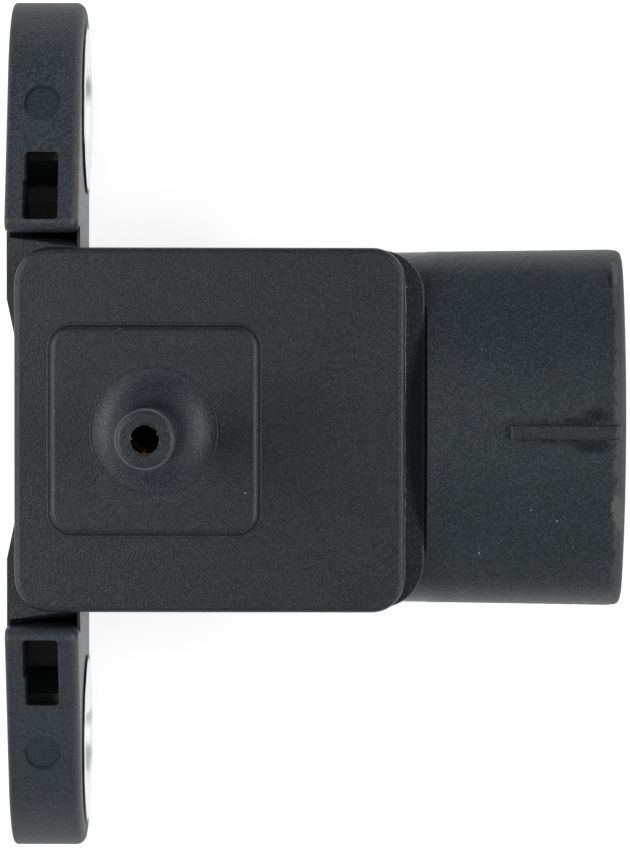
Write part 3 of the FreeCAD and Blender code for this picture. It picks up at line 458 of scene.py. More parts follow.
def ear_light_and_dull_edges(tree, where, base, sheen):
    """Painted light on the ears as paler grain, stronger on the upper one, and duller tips and shroud edges.
    """
    across = along(tree, where, "Y")
    aside = figure(tree, "ABSOLUTE", across)
    ears = least(tree, remap(tree, aside, *EAR_ROOT), remap(tree, aside, *EAR_TIP, 1.0, 0.2))
    grain = noise(tree, where, 0.24 * MM, 2.0, 0.6)
    upper = least(tree, remap(tree, grain, *EAR_LIGHT_RANGE, 0.05, 0.62), remap(tree, across, 0.0, 1 * MM))
    lower = least(tree, remap(tree, grain, *EAR_LIGHT_RANGE, 0.12, 0.3),
                  remap(tree, across, -1 * MM, 0.0, 1.0, 0.0))
    pale = least(tree, ears, strongest(tree, [upper, lower]))
    # Painted light: the ears' grain is made paler, more on the upper ear
    base = mix_colours(tree, pale, base, EAR_PAINTED_LIGHT)
    tips = remap(tree, aside, *EAR_TIP, 0.0, 0.22)
    edges = least(tree, remap(tree, aside, *SHROUD_SIDE, 0.0, 0.1),
                  remap(tree, along(tree, where, "X"), *SHROUD_BACK_X, 0.0, 0.1))
    return base, add(tree, add(tree, sheen, tips), edges)


def pocket_painted_light(tree, where, base, sheen):
    """Painted light in the two pockets: paler insides, most of it in the half beside the box."""
    aside = figure(tree, "ABSOLUTE", along(tree, where, "Y"))
    inside = least(tree, remap(tree, aside, *POCKET_WALL), remap(tree, aside, *POCKET_STEP, 1.0, 0.25))
    for side in (-1, 1):
        centre = (POCKET_CENTRE[0], side * POCKET_CENTRE[1], POCKET_CENTRE[2])
        pocket = blot(tree, where, centre, POCKET_SIZE, 1 * MM, 0.02, 0.05)
        # Painted light: the pocket's insides are made paler
        base = mix_colours(tree, least(tree, pocket, inside), base, POCKET_LIGHT)
    return base, sheen


def smudges_and_rib_shade(tree, where, base, sheen):
    """Dark patches beside the guide rib and at the mouth: grease, and painted shade along the rib's feet."""
    dark_patches = [blot(tree, where, centre, size, 0.6 * MM, 0.35, 0.4) for centre, size in SMUDGE_AND_SHADE_PATCHES]
    # Grease and painted shade: darker beside the guide rib and at the mouth
    base = mix_colours(tree, strongest(tree, dark_patches, 0.85), base, SMUDGE_AND_SHADE)
    return base, add(tree, sheen, strongest(tree, dark_patches, -0.16))


def pin_marks(tree, where, base, sheen):
    """The round mark that an ejector pin leaves on each ear, with a painted shadow as a thin dark crescent on
    its outer side.
    """
    marks = []
    shadow_crescents = []
    for side in (-1, 1):
        centre = (PIN_MARK[0], side * PIN_MARK[1], 0.0)
        marks.append(blot(tree, where, centre, (PIN_MARK_R, PIN_MARK_R, RIGHT_THROUGH), uneven=0.02))
        near = (centre[0] - 0.5 * MM, centre[1] + side * 0.9 * MM, 0.0)
        shadow_crescents.append(rim(tree, where, centre, PIN_MARK_R + 0.05 * MM, near))
    base = mix_colours(tree, strongest(tree, marks, 0.5), base, PIN_MARK_FACE)
    # Painted shadow: a thin dark crescent on each mark's outer side
    base = mix_colours(tree, strongest(tree, shadow_crescents, 0.85), base, PIN_MARK_SHADOW)
    return base, add(tree, sheen, strongest(tree, marks, -0.06))


def housing_wear_and_light(tree, where, base, sheen):
    """All the scuffs, marks and dirt of the housing, with its painted light and shade, one kind over the
    other.
    """
    for kind in (mouth_scuff_and_highlight, ear_light_and_dull_edges, pocket_painted_light, smudges_and_rib_shade, pin_marks):
        base, sheen = kind(tree, where, base, sheen)
    return base, sheen


def plated_steel(name, metal):
    """Bright plated steel with fine turning marks, and grey patches that paint the floor's shade reflected
    below the holes.
    """
    material, tree, shader = new_finish(name)
    where = place_texture(tree)
    marks = noise(tree, where, 0.3 * MM, 4.0)
    shader.inputs["Metallic"].default_value = 1.0
    shade_patches = [blot(tree, where, (6 * MM, y, -4.2 * MM), (3 * MM, half, 4.6 * MM), 1.6 * MM, 0.5, 0.55)
              for y, half in REFLECTED_SHADE_PATCHES]
    reflected_shade = strongest(tree, shade_patches, 0.55)
    plating = mix_colours(tree, marks, shade(metal.colour, 0.9), metal.colour)
    # Painted reflection: the faces greyer below the holes, where they mirror the shaded floor
    tree.links.new(mix_colours(tree, reflected_shade, plating, REFLECTED_SHADE), shader.inputs["Base Color"])
    sheen = remap(tree, marks, *NOISE_RANGE, metal.roughness - 0.08, metal.roughness + 0.1)
    sheen = add(tree, sheen, remap(tree, reflected_shade, 0.0, 1.0, 0.0, 0.2))
    tree.links.new(sheen, shader.inputs["Roughness"])
    tree.links.new(bump(tree, marks, 0.01 * MM), shader.inputs["Normal"])
    return material


def plain_finish(name, colour, roughness, grain, depth, metallic=0.0, see_through=0.0):
    """A finish for a small inner piece: one colour that varies a little, with its own grain."""
    material, tree, shader = new_finish(name)
    where = place_texture(tree)
    grains = noise(tree, where, grain, 3.0)
    base = mix_colours(tree, grains, shade(colour, 0.85), shade(colour, 1.12))
    tree.links.new(base, shader.inputs["Base Color"])
    shader.inputs["Metallic"].default_value = metallic
    shader.inputs["Transmission Weight"].default_value = see_through
    sheen = remap(tree, grains, *NOISE_RANGE, roughness * 0.85, min(1.0, roughness * 1.2))
    tree.links.new(sheen, shader.inputs["Roughness"])
    tree.links.new(bump(tree, grains, depth), shader.inputs["Normal"])
    return material


def dress(node, material):
    """Gives a CAD node its finish."""
    mesh = NODES[node].data
    mesh.materials.clear()
    mesh.materials.append(material)


def clear_selection():
    """Leaves nothing selected, so that an edit touches only what it adds."""
    bpy.ops.object.select_all(action="DESELECT")


def pick(piece):
    """Selects one piece alone and makes it the active one."""
    clear_selection()
    piece.select_set(True)
    bpy.context.view_layer.objects.active = piece


def name_piece(name):
    """Names the primitive just added and puts its place into its mesh."""
    piece = bpy.context.object
    piece.name = name
    piece.data.name = name
    bpy.ops.object.transform_apply(location=True, rotation=True, scale=True)
    return piece


def add_bar(name, centre, size, turn=0.0):
    """A square bar to shape a piece from, turned about the upright axis."""
    clear_selection()
    bpy.ops.mesh.primitive_cube_add(size=1, location=centre)
    bar = bpy.context.object
    bar.scale = size
    bar.rotation_euler.z = turn
    return name_piece(name)


def select_faces(piece, wanted):
    """In edit mode, selects the faces whose centre and normal pass a test."""
    bpy.ops.mesh.select_mode(type="FACE")
    bpy.ops.mesh.select_all(action="DESELECT")
    form = bmesh.from_edit_mesh(piece.data)
    for face in form.faces:
        face.select_set(wanted(face.calc_center_median(), face.normal))
    bmesh.update_edit_mesh(piece.data)


def select_edges(piece, wanted):
    """In edit mode, selects the edges whose two ends pass a test."""
    bpy.ops.mesh.select_mode(type="EDGE")
    bpy.ops.mesh.select_all(action="DESELECT")
    form = bmesh.from_edit_mesh(piece.data)
    for edge in form.edges:
        edge.select_set(wanted(edge.verts[0].co, edge.verts[1].co))
    bmesh.update_edit_mesh(piece.data)


def hollow_out(piece, wall, wanted):
    """In edit mode, makes a ring: insets the two end faces that pass a test and joins the insets."""
    select_faces(piece, wanted)
    bpy.ops.mesh.inset(thickness=wall, use_individual=True)
    bpy.ops.mesh.bridge_edge_loops()


def apply_modifier(piece, kind, **settings):
    """Adds a modifier with its settings and applies it."""
    modifier = piece.modifiers.new(kind.lower(), kind)
    for name, value in settings.items():
        setattr(modifier, name, value)
    bpy.context.view_layer.objects.active = piece
    bpy.ops.object.modifier_apply(modifier=modifier.name)


def roughen(piece, lump, depth):
    """Pushes the surface in and out by smooth lumps of a given width."""
    lumps = bpy.data.textures.new(piece.name + "_lumps", "CLOUDS")
    lumps.noise_scale = lump
    apply_modifier(piece, "DISPLACE", texture=lumps, strength=depth, mid_level=0.5, texture_coords="LOCAL")


def copy_piece(piece):
    """A copy of a piece with a mesh of its own."""
    copy = piece.copy()
    copy.data = piece.data.copy()
    bpy.context.scene.collection.objects.link(copy)
    return copy


def mirror_piece(piece, name):
    """A copy of a piece, mirrored to the other side of the sensor's middle plane."""
    other = copy_piece(piece)
    other.name = other.data.name = name
    pick(other)
    bpy.ops.object.mode_set(mode="EDIT")
    bpy.ops.mesh.select_all(action="SELECT")
    bpy.ops.transform.mirror(constraint_axis=(False, True, False), center_override=(0, 0, 0))
    bpy.ops.mesh.normals_make_consistent(inside=False)
    bpy.ops.object.mode_set(mode="OBJECT")
    return other


def fit_piece(piece, material):
    """Smooths a modelled piece, gives it its finish and fixes it to the sensor."""
    pick(piece)
    bpy.ops.object.shade_smooth_by_angle(angle=math.radians(50))
    piece.data.materials.append(material)
    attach(piece, "root")


def cast(node, start, direction):
    """The place where a ray first meets a CAD node."""
    hit, place, _, _ = NODES[node].ray_cast(Vector(start), Vector(direction))
    if not hit:
        raise RuntimeError("No place was found on the " + node)
    return place


def seen_at(pixel):
    """The place on the sensor that the camera sees at a pixel of the photograph, and the normal there."""
    bpy.context.view_layer.update()
    camera = bpy.context.scene.camera
    step = camera.data.sensor_height / camera.data.lens / PHOTO_HEIGHT
    ray = Vector(((pixel[0] - PHOTO_WIDTH / 2) * step, (PHOTO_HEIGHT / 2 - pixel[1]) * step, -1))
    direction = (camera.matrix_world.to_3x3() @ ray).normalized()
    eye = camera.matrix_world.translation
    found = []
    for node in ("housing", "port_cover"):
        hit, place, normal, _ = NODES[node].ray_cast(eye, direction)
        if hit:
            found.append(((place - eye).length, place, normal))
    if not found:
        raise RuntimeError("The sensor isn't seen at pixel " + str(pixel))
    _, place, normal = min(found, key=lambda entry: entry[0])
    return place, normal


def scatter(name, width, seed, pixels, material):
    """One flattened, uneven crumb, copied to each of the given pixels and joined."""
    clear_selection()
    bpy.ops.mesh.primitive_ico_sphere_add(subdivisions=2, radius=width / 2)
    crumb = name_piece(name)
    bpy.ops.object.mode_set(mode="EDIT")
    bpy.ops.mesh.select_all(action="SELECT")
    bpy.ops.transform.resize(value=(1.0, 0.68, 0.5))
    bpy.ops.transform.vertex_random(offset=width * 0.1, seed=seed)
    bpy.ops.object.mode_set(mode="OBJECT")
    crumbs = []
    for index, pixel in enumerate(pixels):
        place, normal = seen_at(pixel)
        # A crumb on the nipple's tip stays under the top of the CAD box
        place.z = min(place.z, CAD_BOX[1][2] - 0.35 * width)
        copy = copy_piece(crumb)
        turn = normal.to_track_quat("Z", "Y").to_matrix() @ Matrix.Rotation(2.4 * index, 3, "Z")
        grown = Matrix.Scale(0.75 + 0.25 * (index % 3), 4)
        copy.data.transform(Matrix.Translation(place) @ turn.to_4x4() @ grown)
        crumbs.append(copy)
    bpy.data.objects.remove(crumb)
    for copy in crumbs:
        copy.select_set(True)
    bpy.context.view_layer.objects.active = crumbs[0]
    bpy.ops.object.join()
    crumbs[0].name = name
    fit_piece(crumbs[0], material)


def build_bushing_flash(node, name, detail, material):
    """A thin raised lip of the moulding round the face of a bushing, set back on its lower half."""
    low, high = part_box(node)
    radius = (high.z - low.z) / 2
    overlap = 0.02 * MM
    depth = 4 * detail.flash_height
    centre = (high.x + detail.flash_height - depth / 2, (low.y + high.y) / 2, (low.z + high.z) / 2)
    clear_selection()
    bpy.ops.mesh.primitive_cylinder_add(vertices=180, radius=radius + detail.flash_width, depth=depth,
                                        location=centre, rotation=(0, math.pi / 2, 0))
    lip = name_piece(name)
    bpy.ops.object.mode_set(mode="EDIT")
    hollow_out(lip, detail.flash_width + overlap, lambda place, normal: abs(normal.x) > 0.9)
    select_faces(lip, lambda place, normal: place.z < centre[2])
    bpy.ops.transform.translate(value=(-2.2 * detail.flash_height, 0, 0))
    bpy.ops.object.mode_set(mode="OBJECT")
    apply_modifier(lip, "BEVEL", width=detail.flash_height * 0.8, segments=3, angle_limit=math.radians(40))
    roughen(lip, 1.6 * MM, detail.flash_height * 1.2)
    fit_piece(lip, material)


def build_bore_flash(detail, material):
    """The ragged lip at the mouth of the nipple's bore, with three flakes."""
    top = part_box("port_cover")[1].z
    centre = Vector((PORT.x, PORT.y, 0))
    flake_width = 0.16

    def on_flake(place, normal, start):
        """Whether a face is on the lip's upper inner side, in the stretch that starts at a bearing."""
        out = place - centre
        bearing = math.atan2(out.y, out.x) % (2 * math.pi)
        inner = normal.x * out.x + normal.y * out.y < 0
        return start < bearing < start + flake_width and inner and normal.z > 0

    clear_selection()
    bpy.ops.mesh.primitive_torus_add(
        major_radius=detail.bore / 2, minor_radius=detail.bore_flash / 2, major_segments=120,
        minor_segments=12, location=(PORT.x, PORT.y, top - detail.bore_flash))
    lip = name_piece("bore_flash")
    bpy.ops.object.mode_set(mode="EDIT")
    for start in (0.35, 3.0, 4.6):
        select_faces(lip, lambda place, normal, start=start: on_flake(place, normal, start))
        middle = start + flake_width / 2
        inward = Vector((-math.cos(middle), -math.sin(middle), 0.0)) * detail.bore_flash * 0.9
        bpy.ops.mesh.extrude_region_move(TRANSFORM_OT_translate={"value": inward})
    bpy.ops.object.mode_set(mode="OBJECT")
    roughen(lip, 0.3 * MM, detail.bore_flash * 0.8)
    fit_piece(lip, material)


def build_flare_ring(detail, material):
    """The fine raised ring where the nipple's flare meets the pad."""
    thickness = 0.18 * MM
    on_pad = PORT.x + 7 * MM
    centre = cast("port_cover", (on_pad, PORT.y, 1), (0, 0, -1))
    centre.z += 0.08 * MM
    clear_selection()
    bpy.ops.mesh.primitive_torus_add(
        major_radius=detail.flare_ring / 2, minor_radius=thickness / 2, major_segments=180,
        minor_segments=12, location=(PORT.x, PORT.y, centre.z))
    ring = name_piece("flare_foot_ring")
    bpy.ops.object.mode_set(mode="EDIT")
    select_faces(ring, lambda place, normal: place.z > centre.z)
    bpy.ops.transform.resize(value=(1, 1, 0.7), center_override=centre)
    bpy.ops.object.mode_set(mode="OBJECT")
    roughen(ring, 0.6 * MM, 0.025 * MM)
    fit_piece(ring, material)


def build_pad_bead(detail, material):
    """The fine rounded bead at the foot of the square pad."""
    depth = 0.3 * MM
    wall = 0.3 * MM
    corner = 2.15 * MM
    beside_pad = PORT.x + 14 * MM
    top = cast("port_cover", (beside_pad, PORT.y, 1), (0, 0, -1)).z + 0.06 * MM
    bead = add_bar("pad_foot_bead", (PORT.x, PORT.y, top - depth / 2),
                   (detail.pad_bead, detail.pad_bead, depth))
    bpy.ops.object.mode_set(mode="EDIT")
    select_edges(bead, lambda first, second: abs(first.z - second.z) > depth / 2)
    bpy.ops.mesh.bevel(offset=corner, segments=16)
    hollow_out(bead, wall, lambda place, normal: abs(normal.z) > 0.9)
    bpy.ops.object.mode_set(mode="OBJECT")
    apply_modifier(bead, "BEVEL", width=0.1 * MM, segments=4, angle_limit=math.radians(60))
    fit_piece(bead, material)


def build_slot_lips(detail, material):
    """The rounded lip on the box's side of the slot beside each ear."""
    near, far = SLOT_EDGE
    run = far - near
    wide = detail.slot_lip
    depth = 1.8 * MM
    out = Vector((-run.y, run.x, 0)).normalized()
    middle = (near + far) / 2 + out * (wide / 2 - 0.02 * MM) - Vector((0, 0, depth / 2 + 0.01 * MM))

    def on_outer_edge(first, second):
        """Whether an edge runs along the lip's upper side, next to the slot."""
        return (min(first.z, second.z) > middle.z
                and abs(first.x - second.x) > 3 * MM
                and (first + second - 2 * middle).dot(out) > 0)

    lip = add_bar("upper_slot_lip", middle, (run.length, wide, depth), math.atan2(run.y, run.x))
    bpy.ops.object.mode_set(mode="EDIT")
    select_faces(lip, lambda place, normal: normal.x < -0.9)
    bpy.ops.transform.resize(value=(1, 0.3, 1), center_override=near)
    select_edges(lip, on_outer_edge)
    bpy.ops.mesh.bevel(offset_type="PERCENT", offset_pct=92, segments=10)
    bpy.ops.object.mode_set(mode="OBJECT")
    other = mirror_piece(lip, "lower_slot_lip")
    fit_piece(lip, material)
    fit_piece(other, material)


def build_squeeze_out(detail, material):
    """The uneven line of adhesive that shows under the cover's edge and on the ledge behind it."""
    low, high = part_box("port_cover")
    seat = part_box("cover_adhesive")[1].z
    reach = 0.16 * MM
    drawn_in = 0.07 * MM
    corner = 2.8 * MM
    wall = 0.5 * MM
    bead = add_bar("cover_squeeze_out", ((low.x + high.x + 2 * reach) / 2, 0, seat - 0.02 * MM),
                   (high.x - low.x, high.y - low.y - 2 * drawn_in, detail.squeeze))
    bpy.ops.object.mode_set(mode="EDIT")
    select_edges(bead, lambda first, second: abs(first.z - second.z) > detail.squeeze / 2)
    bpy.ops.mesh.bevel(offset=corner, segments=12)
    hollow_out(bead, wall, lambda place, normal: abs(normal.z) > 0.9)
    bpy.ops.object.mode_set(mode="OBJECT")
    apply_modifier(bead, "REMESH", mode="VOXEL", voxel_size=0.075 * MM)
    roughen(bead, 1.1 * MM, 0.16 * MM)
    roughen(bead, 0.4 * MM, 0.05 * MM)
    fit_piece(bead, material)


def build_guide_rib(detail, material):
    """The low rib on top of the shroud that guides the plug, worn at both ends."""
    crown = [cast("housing", (x, GUIDE_RIB_Y, 1), (0, 0, -1)) for x in GUIDE_RIB_CROWN_X]
    slope = (crown[1].z - crown[0].z) / (crown[1].x - crown[0].x)
    length = GUIDE_RIB_END_X - detail.rib_start
    middle = (detail.rib_start + GUIDE_RIB_END_X) / 2
    depth = 0.6 * MM
    top = crown[0].z + slope * (middle - crown[0].x) + 0.02 * MM
    fall = slope * length / 2
    rib = add_bar("guide_rib_skin", (middle, GUIDE_RIB_Y, top - depth / 2), (length, detail.rib_width, depth))
    bpy.ops.object.mode_set(mode="EDIT")
    select_faces(rib, lambda place, normal: normal.x > 0.9)
    bpy.ops.transform.translate(value=(0, 0, fall))
    select_faces(rib, lambda place, normal: normal.x < -0.9)
    bpy.ops.transform.translate(value=(0, 0, -fall))
    select_edges(rib, lambda first, second: min(first.z, second.z) > top - depth / 2)
    bpy.ops.mesh.bevel(offset=0.14 * MM, segments=3)
    bpy.ops.object.mode_set(mode="OBJECT")
    apply_modifier(rib, "REMESH", mode="VOXEL", voxel_size=0.06 * MM)
    roughen(rib, 0.5 * MM, 0.05 * MM)
    fit_piece(rib, material)


def build_parting_lines(detail, material):
    """The fine raised line that the mould leaves along both sides of the shroud."""
    sunk = 0.1 * MM
    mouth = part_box("housing")[1].x - 0.8 * MM
    back, front = [cast("housing", (x, 1, SHROUD_Z), (0, -1, 0)) for x in (35 * MM, mouth)]
    centre = ((back.x + front.x) / 2, back.y + (detail.line_height - sunk) / 2, SHROUD_Z)
    line = add_bar("shroud_parting_line_left", centre,
                   (front.x - back.x, detail.line_height + sunk, detail.line_width))
    bpy.ops.object.mode_set(mode="EDIT")
    select_faces(line, lambda place, normal: normal.x > 0.9)
    bpy.ops.transform.translate(value=(0, front.y - back.y, 0))
    select_faces(line, lambda place, normal: normal.y > 0.9)
    bpy.ops.transform.resize(value=(1, 1, 0.45))
    select_edges(line, lambda first, second: abs(first.x - second.x) > 1 * MM)
    bpy.ops.mesh.subdivide(number_cuts=90)
    bpy.ops.object.mode_set(mode="OBJECT")
    apply_modifier(line, "BEVEL", width=detail.line_height * 0.4, segments=2, angle_limit=math.radians(25))
    roughen(line, 0.9 * MM, detail.line_height * 0.6)
    other = mirror_piece(line, "shroud_parting_line_right")
    fit_piece(line, material)
    fit_piece(other, material)


class SENSOR_OT_housing(Operator):
    """Give the housing its grained black finish, with its painted light and shade"""
    bl_idname = "sensor.housing"
    bl_label = "Housing"

    def execute(self, context):
        plastic = context.scene.sensor_plastic
        dress("housing", grained_plastic("housing_plastic", plastic, 1.05, housing_wear_and_light))
        return {"FINISHED"}


class SENSOR_OT_cover(Operator):
    """Give the port cover its grained black finish, with painted glints on the flare"""
    bl_idname = "sensor.cover"
    bl_label = "Port cover"

    def execute(self, context):
        plastic = context.scene.sensor_plastic
        dress("port_cover", grained_plastic("cover_plastic", plastic, 0.75, flare_glints))
        return {"FINISHED"}


class SENSOR_OT_bushings(Operator):
    """Give both bushings their plated finish, with a painted reflection below their holes"""
    bl_idname = "sensor.bushings"
    bl_label = "Bushings"

    def execute(self, context):
        material = plated_steel("bushing_steel", context.scene.sensor_metal)
        for node in ("upper_bushing", "lower_bushing"):
            dress(node, material)
        return {"FINISHED"}


class SENSOR_OT_contacts(Operator):
    """Give the terminals, their solder, their sealant and the cover's adhesive their finishes"""
    bl_idname = "sensor.contacts"
    bl_label = "Contacts"

    def execute(self, context):
        tin = plain_finish("terminal_tin", (0.74, 0.72, 0.68), 0.3, 0.2 * MM, 0.004 * MM, metallic=1.0)
        solder = plain_finish("solder", (0.7, 0.71, 0.72), 0.28, 0.4 * MM, 0.01 * MM, metallic=1.0)
        for line in ("supply", "signal", "ground"):
            dress(line + "_terminal", tin)
            dress(line + "_solder", solder)
        dress("terminal_sealant", plain_finish("sealant", (0.25, 0.08, 0.02), 0.25, 1.5 * MM, 0.02 * MM))
        dress("cover_adhesive", plain_finish("adhesive", (0.04, 0.04, 0.045), 0.4, 1.0 * MM, 0.02 * MM))
        return {"FINISHED"}


class SENSOR_OT_cell(Operator):
    """Give the sensor cell and its seal their finishes"""
    bl_idname = "sensor.cell"
    bl_label = "Sensor cell"

    def execute(self, context):
        cup = plain_finish("cell_cup_plastic", (0.55, 0.5, 0.38), 0.5, 0.3 * MM, 0.006 * MM)
        glass = plain_finish("cell_glass", (0.8, 0.9, 0.87), 0.1, 0.5 * MM, 0.001 * MM, see_through=0.9)
        silicon = plain_finish("silicon", (0.16, 0.17, 0.21), 0.15, 0.4 * MM, 0.0005 * MM)
        gold = plain_finish("wire_gold", (0.9, 0.68, 0.25), 0.25, 0.1 * MM, 0.001 * MM, metallic=1.0)
        gel = plain_finish("gel", (0.8, 0.34, 0.05), 0.12, 1.2 * MM, 0.01 * MM, see_through=0.4)
        silicone = plain_finish("seal_silicone", (0.72, 0.22, 0.04), 0.45, 0.3 * MM, 0.006 * MM)
        for node, material in (("cell_cup", cup), ("glass_pedestal", glass), ("pressure_die", silicon),
                               ("bond_wires", gold), ("cell_gel", gel), ("port_seal", silicone)):
            dress(node, material)
        return {"FINISHED"}


class SENSOR_OT_electronics(Operator):
    """Give the board and the parts on it their finishes"""
    bl_idname = "sensor.electronics"
    bl_label = "Electronics"

    def execute(self, context):
        laminate = plain_finish("board_laminate", (0.02, 0.2, 0.08), 0.35, 0.6 * MM, 0.006 * MM)
        dress("circuit_board", laminate)
        epoxy = plain_finish("chip_epoxy", (0.025, 0.025, 0.028), 0.5, 0.15 * MM, 0.004 * MM)
        dress("signal_chip", epoxy)
        ceramic = plain_finish("capacitor_ceramic", (0.48, 0.33, 0.18), 0.4, 0.3 * MM, 0.004 * MM)
        glaze = plain_finish("resistor_ceramic", (0.04, 0.04, 0.05), 0.25, 0.3 * MM, 0.002 * MM)
        for node in ("supply_capacitor", "signal_capacitor", "filter_capacitor"):
            dress(node, ceramic)
        for node in ("gain_resistor", "offset_resistor", "pull_up_resistor", "load_resistor"):
            dress(node, glaze)
        return {"FINISHED"}


class SENSOR_OT_flash(Operator):
    """Model the flash at the bushings and the bore, the parting lines, the slot lips and the guide rib"""
    bl_idname = "sensor.flash"
    bl_label = "Flash, lips and guide rib"

    def execute(self, context):
        detail = context.scene.sensor_detail
        plastic = grained_plastic("flash_plastic", context.scene.sensor_plastic, 0.8)
        build_bushing_flash("upper_bushing", "upper_bushing_flash", detail, plastic)
        build_bushing_flash("lower_bushing", "lower_bushing_flash", detail, plastic)
        build_bore_flash(detail, plastic)
        build_parting_lines(detail, plastic)
        build_slot_lips(detail, plastic)
        # The guide rib's finish carries the mouth's scuffs and its painted highlight
        worn = grained_plastic("guide_rib_plastic", context.scene.sensor_plastic, 0.85, mouth_scuff_and_highlight)
        build_guide_rib(detail, worn)
        return {"FINISHED"}


class SENSOR_OT_mould_lines(Operator):
    """Model the fine ring and bead that the mould's inserts leave on the cover"""
    bl_idname = "sensor.mould_lines"
    bl_label = "Lines on the cover"

    def execute(self, context):
        detail = context.scene.sensor_detail
        plastic = grained_plastic("mould_line_plastic", context.scene.sensor_plastic, 1.0)
        build_flare_ring(detail, plastic)
        build_pad_bead(detail, plastic)
        return {"FINISHED"}


class SENSOR_OT_adhesive(Operator):
    """Model the adhesive that shows at the foot of the cover"""
    bl_idname = "sensor.adhesive"
    bl_label = "Squeezed-out adhesive"

    def execute(self, context):
        material = plain_finish("squeezed_adhesive", (0.018, 0.018, 0.02), 0.3, 0.8 * MM, 0.02 * MM)
        build_squeeze_out(context.scene.sensor_detail, material)
        return {"FINISHED"}


class SENSOR_OT_crumbs(Operator):
    """Model the dust, the small burrs, pale as painted glints, and the amber smear in the bore where the
    photograph shows them
    """
    bl_idname = "sensor.crumbs"
    bl_label = "Dust, burrs and gel"

    def execute(self, context):
        width = context.scene.sensor_detail.speck
        dust = plain_finish("dust", (0.3, 0.31, 0.31), 0.7, 0.05 * MM, 0.01 * MM)
        scatter("surface_dust", width, 3, DUST_PIXELS, dust)
        # Painted glints: the burrs are a much paler copy of the moulding
        burr = grained_plastic("pale_burr_glint_plastic", context.scene.sensor_plastic, 2.2)
        scatter("moulding_burrs_and_glints", 1.3 * width, 8, BURR_AND_GLINT_PIXELS, burr)
        # Amber crumbs in the bore, made light enough to show in its shade
        amber = plain_finish("amber_smear", (0.75, 0.36, 0.1), 0.3, 0.2 * MM, 0.01 * MM)
        scatter("amber_smear", 8 * width, 5, AMBER_PIXELS, amber)
        return {"FINISHED"}


def white_to_camera(tree, colour, lift):
    """A diffuse surface that adds a little light of its own for camera, mirror and glass rays only."""
    nodes = tree.nodes
    shader = nodes["Principled BSDF"]
    shader.inputs["Base Color"].default_value = (*colour, 1)
    shader.inputs["Roughness"].default_value = 0.9
    path = nodes.new("ShaderNodeLightPath")
    seen = path.outputs["Is Camera Ray"]
    for name in ("Is Glossy Ray", "Is Transmission Ray"):
        seen = figure(tree, "MAXIMUM", seen, path.outputs[name])
    glow = nodes.new("ShaderNodeEmission")
    glow.inputs["Strength"].default_value = lift
    dark = nodes.new("ShaderNodeEmission")
    dark.inputs["Strength"].default_value = 0.0
    share = nodes.new("ShaderNodeMixShader")
    tree.links.new(seen, share.inputs["Fac"])
    tree.links.new(dark.outputs[0], share.inputs[1])
    tree.links.new(glow.outputs[0], share.inputs[2])
    both = nodes.new("ShaderNodeAddShader")
    tree.links.new(shader.outputs[0], both.inputs[0])
    tree.links.new(share.outputs[0], both.inputs[1])
    tree.links.new(both.outputs[0], nodes["Material Output"].inputs["Surface"])


def build_floor(studio):
    """A wide pale floor, a hair under what the sensor rests on."""
    gap = 0.05 * MM
    clear_selection()
    bpy.ops.mesh.primitive_plane_add(size=studio.floor_side, location=(0, 0, CAD_BOX[0][2] - gap))
    floor = name_piece("studio_floor")
    material, tree, _ = new_finish("studio_floor")
    white_to_camera(tree, studio.floor_colour, studio.floor_lift)
    floor.data.materials.append(material)


def build_sky(studio):
    """A soft surround: bright at two sides, dimmer at the others and overhead, and white to the camera."""
    world = bpy.data.worlds.new("studio_sky")
    bpy.context.scene.world = world
    world.use_nodes = True
    tree = world.node_tree
    direction = tree.nodes.new("ShaderNodeTexCoord").outputs["Generated"]
    squared = vector_figure(tree, "MULTIPLY", direction, direction).outputs[0]
    level = vector_figure(tree, "DOT_PRODUCT", squared, (studio.sky_side, studio.sky_end, studio.sky_high))
    tilt = vector_figure(tree, "DOT_PRODUCT", direction, (0, -studio.sky_tilt, 0))
    path = tree.nodes.new("ShaderNodeLightPath")
    seen = tree.nodes.new("ShaderNodeMix")
    tree.links.new(path.outputs["Is Camera Ray"], seen.inputs["Factor"])
    tree.links.new(add(tree, level.outputs["Value"], tilt.outputs["Value"]), seen.inputs[2])
    seen.inputs[3].default_value = 1.0
    background = tree.nodes["Background"]
    background.inputs["Color"].default_value = (1, 1, 1, 1)
    tree.links.new(seen.outputs[0], background.inputs["Strength"])


def add_lamp(name, place, target, size, power):
    """A square soft lamp aimed at a point."""
    data = bpy.data.lights.new(name, "AREA")
    data.shape = "RECTANGLE"
    data.size, data.size_y = size
    data.energy = power
    lamp = bpy.data.objects.new(name, data)
    lamp.location = place
    lamp.rotation_euler = (Vector(target) - Vector(place)).to_track_quat("-Z", "Y").to_euler()
    bpy.context.scene.collection.objects.link(lamp)


def build_camera(studio):
    """The camera that sees the sensor as the photograph does: almost straight down the nipple."""
    across = (PHOTO_WIDTH / 2 - PLUMB_PIXEL[0]) * studio.pixel
    plumb_y = (AXIS_PIXEL_Y - PLUMB_PIXEL[1]) * studio.pixel
    down = (PHOTO_HEIGHT / 2 - AXIS_PIXEL_Y) * studio.pixel
    eye = Vector((PLUMB_X, plumb_y, studio.distance))
    aim = Vector((PLUMB_X + across, -down, 0.0))
    data = bpy.data.cameras.new("photo_camera")
    camera = bpy.data.objects.new("photo_camera", data)
    bpy.context.scene.collection.objects.link(camera)
    back = (eye - aim).normalized()
    right = Vector((0, 1, 0)).cross(back).normalized()
    turn = Matrix((right, back.cross(right), back)).transposed() @ Matrix.Rotation(studio.roll, 3, "Z")
    camera.matrix_world = Matrix.Translation(eye) @ turn.to_4x4()
    data.sensor_fit = "VERTICAL"
    data.lens = data.sensor_height * (aim - eye).length / (PHOTO_HEIGHT * studio.pixel)
    data.clip_start = 10 * MM
    data.clip_end = 20.0
    bpy.context.scene.camera = camera


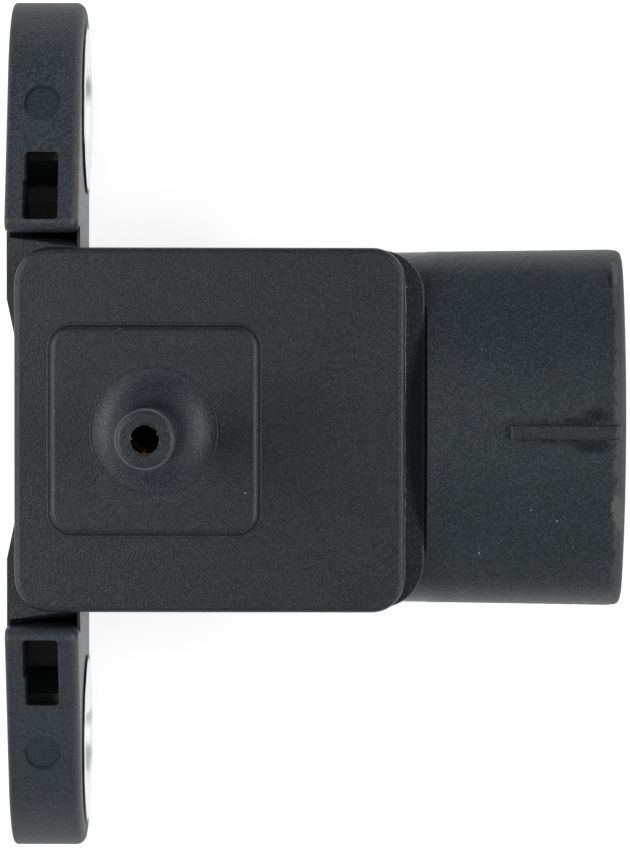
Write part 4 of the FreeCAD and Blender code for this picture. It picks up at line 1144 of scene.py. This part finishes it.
class SENSOR_OT_studio(Operator):
    """Set the floor, the sky, the lamps and the camera"""
    bl_idname = "sensor.studio"
    bl_label = "Studio"

    def execute(self, context):
        studio = context.scene.sensor_studio
        build_floor(studio)
        build_sky(studio)
        for name, side, drift in LAMPS:
            place = (PLUMB_X + side * studio.lamp_height, drift, studio.lamp_height)
            add_lamp(name, place, (PLUMB_X, 0, 0), LAMP_SIZE, studio.side_power)
        build_camera(studio)
        context.scene.view_settings.view_transform = "Standard"
        return {"FINISHED"}


class SENSOR_PT_dressing(Panel):
    """The steps that dress the sensor, in their order, and the sizes and colours they use"""
    bl_idname = "SENSOR_PT_dressing"
    bl_label = "Sensor"
    bl_space_type = "VIEW_3D"
    bl_region_type = "UI"
    bl_category = "Sensor"

    def draw(self, context):
        for step in STEPS:
            self.layout.operator(step.bl_idname)
        for group in GROUPS:
            values = getattr(context.scene, group)
            for name in values.__annotations__:
                self.layout.prop(values, name)


# The studio comes first, because the crumbs are placed through its camera
STEPS = (
    SENSOR_OT_studio,
    SENSOR_OT_housing,
    SENSOR_OT_cover,
    SENSOR_OT_bushings,
    SENSOR_OT_contacts,
    SENSOR_OT_cell,
    SENSOR_OT_electronics,
    SENSOR_OT_flash,
    SENSOR_OT_mould_lines,
    SENSOR_OT_adhesive,
    SENSOR_OT_crumbs,
)
GROUPS = {
    "sensor_plastic": SensorPlastic,
    "sensor_metal": SensorMetal,
    "sensor_detail": SensorDetail,
    "sensor_studio": SensorStudio,
}


def register():
    for group in GROUPS.values():
        bpy.utils.register_class(group)
    for name, group in GROUPS.items():
        setattr(bpy.types.Scene, name, PointerProperty(type=group))
    for step in STEPS:
        bpy.utils.register_class(step)
    bpy.utils.register_class(SENSOR_PT_dressing)


def unregister():
    bpy.utils.unregister_class(SENSOR_PT_dressing)
    for step in reversed(STEPS):
        bpy.utils.unregister_class(step)
    for name, group in GROUPS.items():
        delattr(bpy.types.Scene, name)
        bpy.utils.unregister_class(group)


def main():
    register()
    for step in STEPS:
        area, action = step.bl_idname.split(".")
        if getattr(getattr(bpy.ops, area), action)() != {"FINISHED"}:
            raise RuntimeError(step.bl_label + " did not finish")


if __name__ == "__main__":
    main()
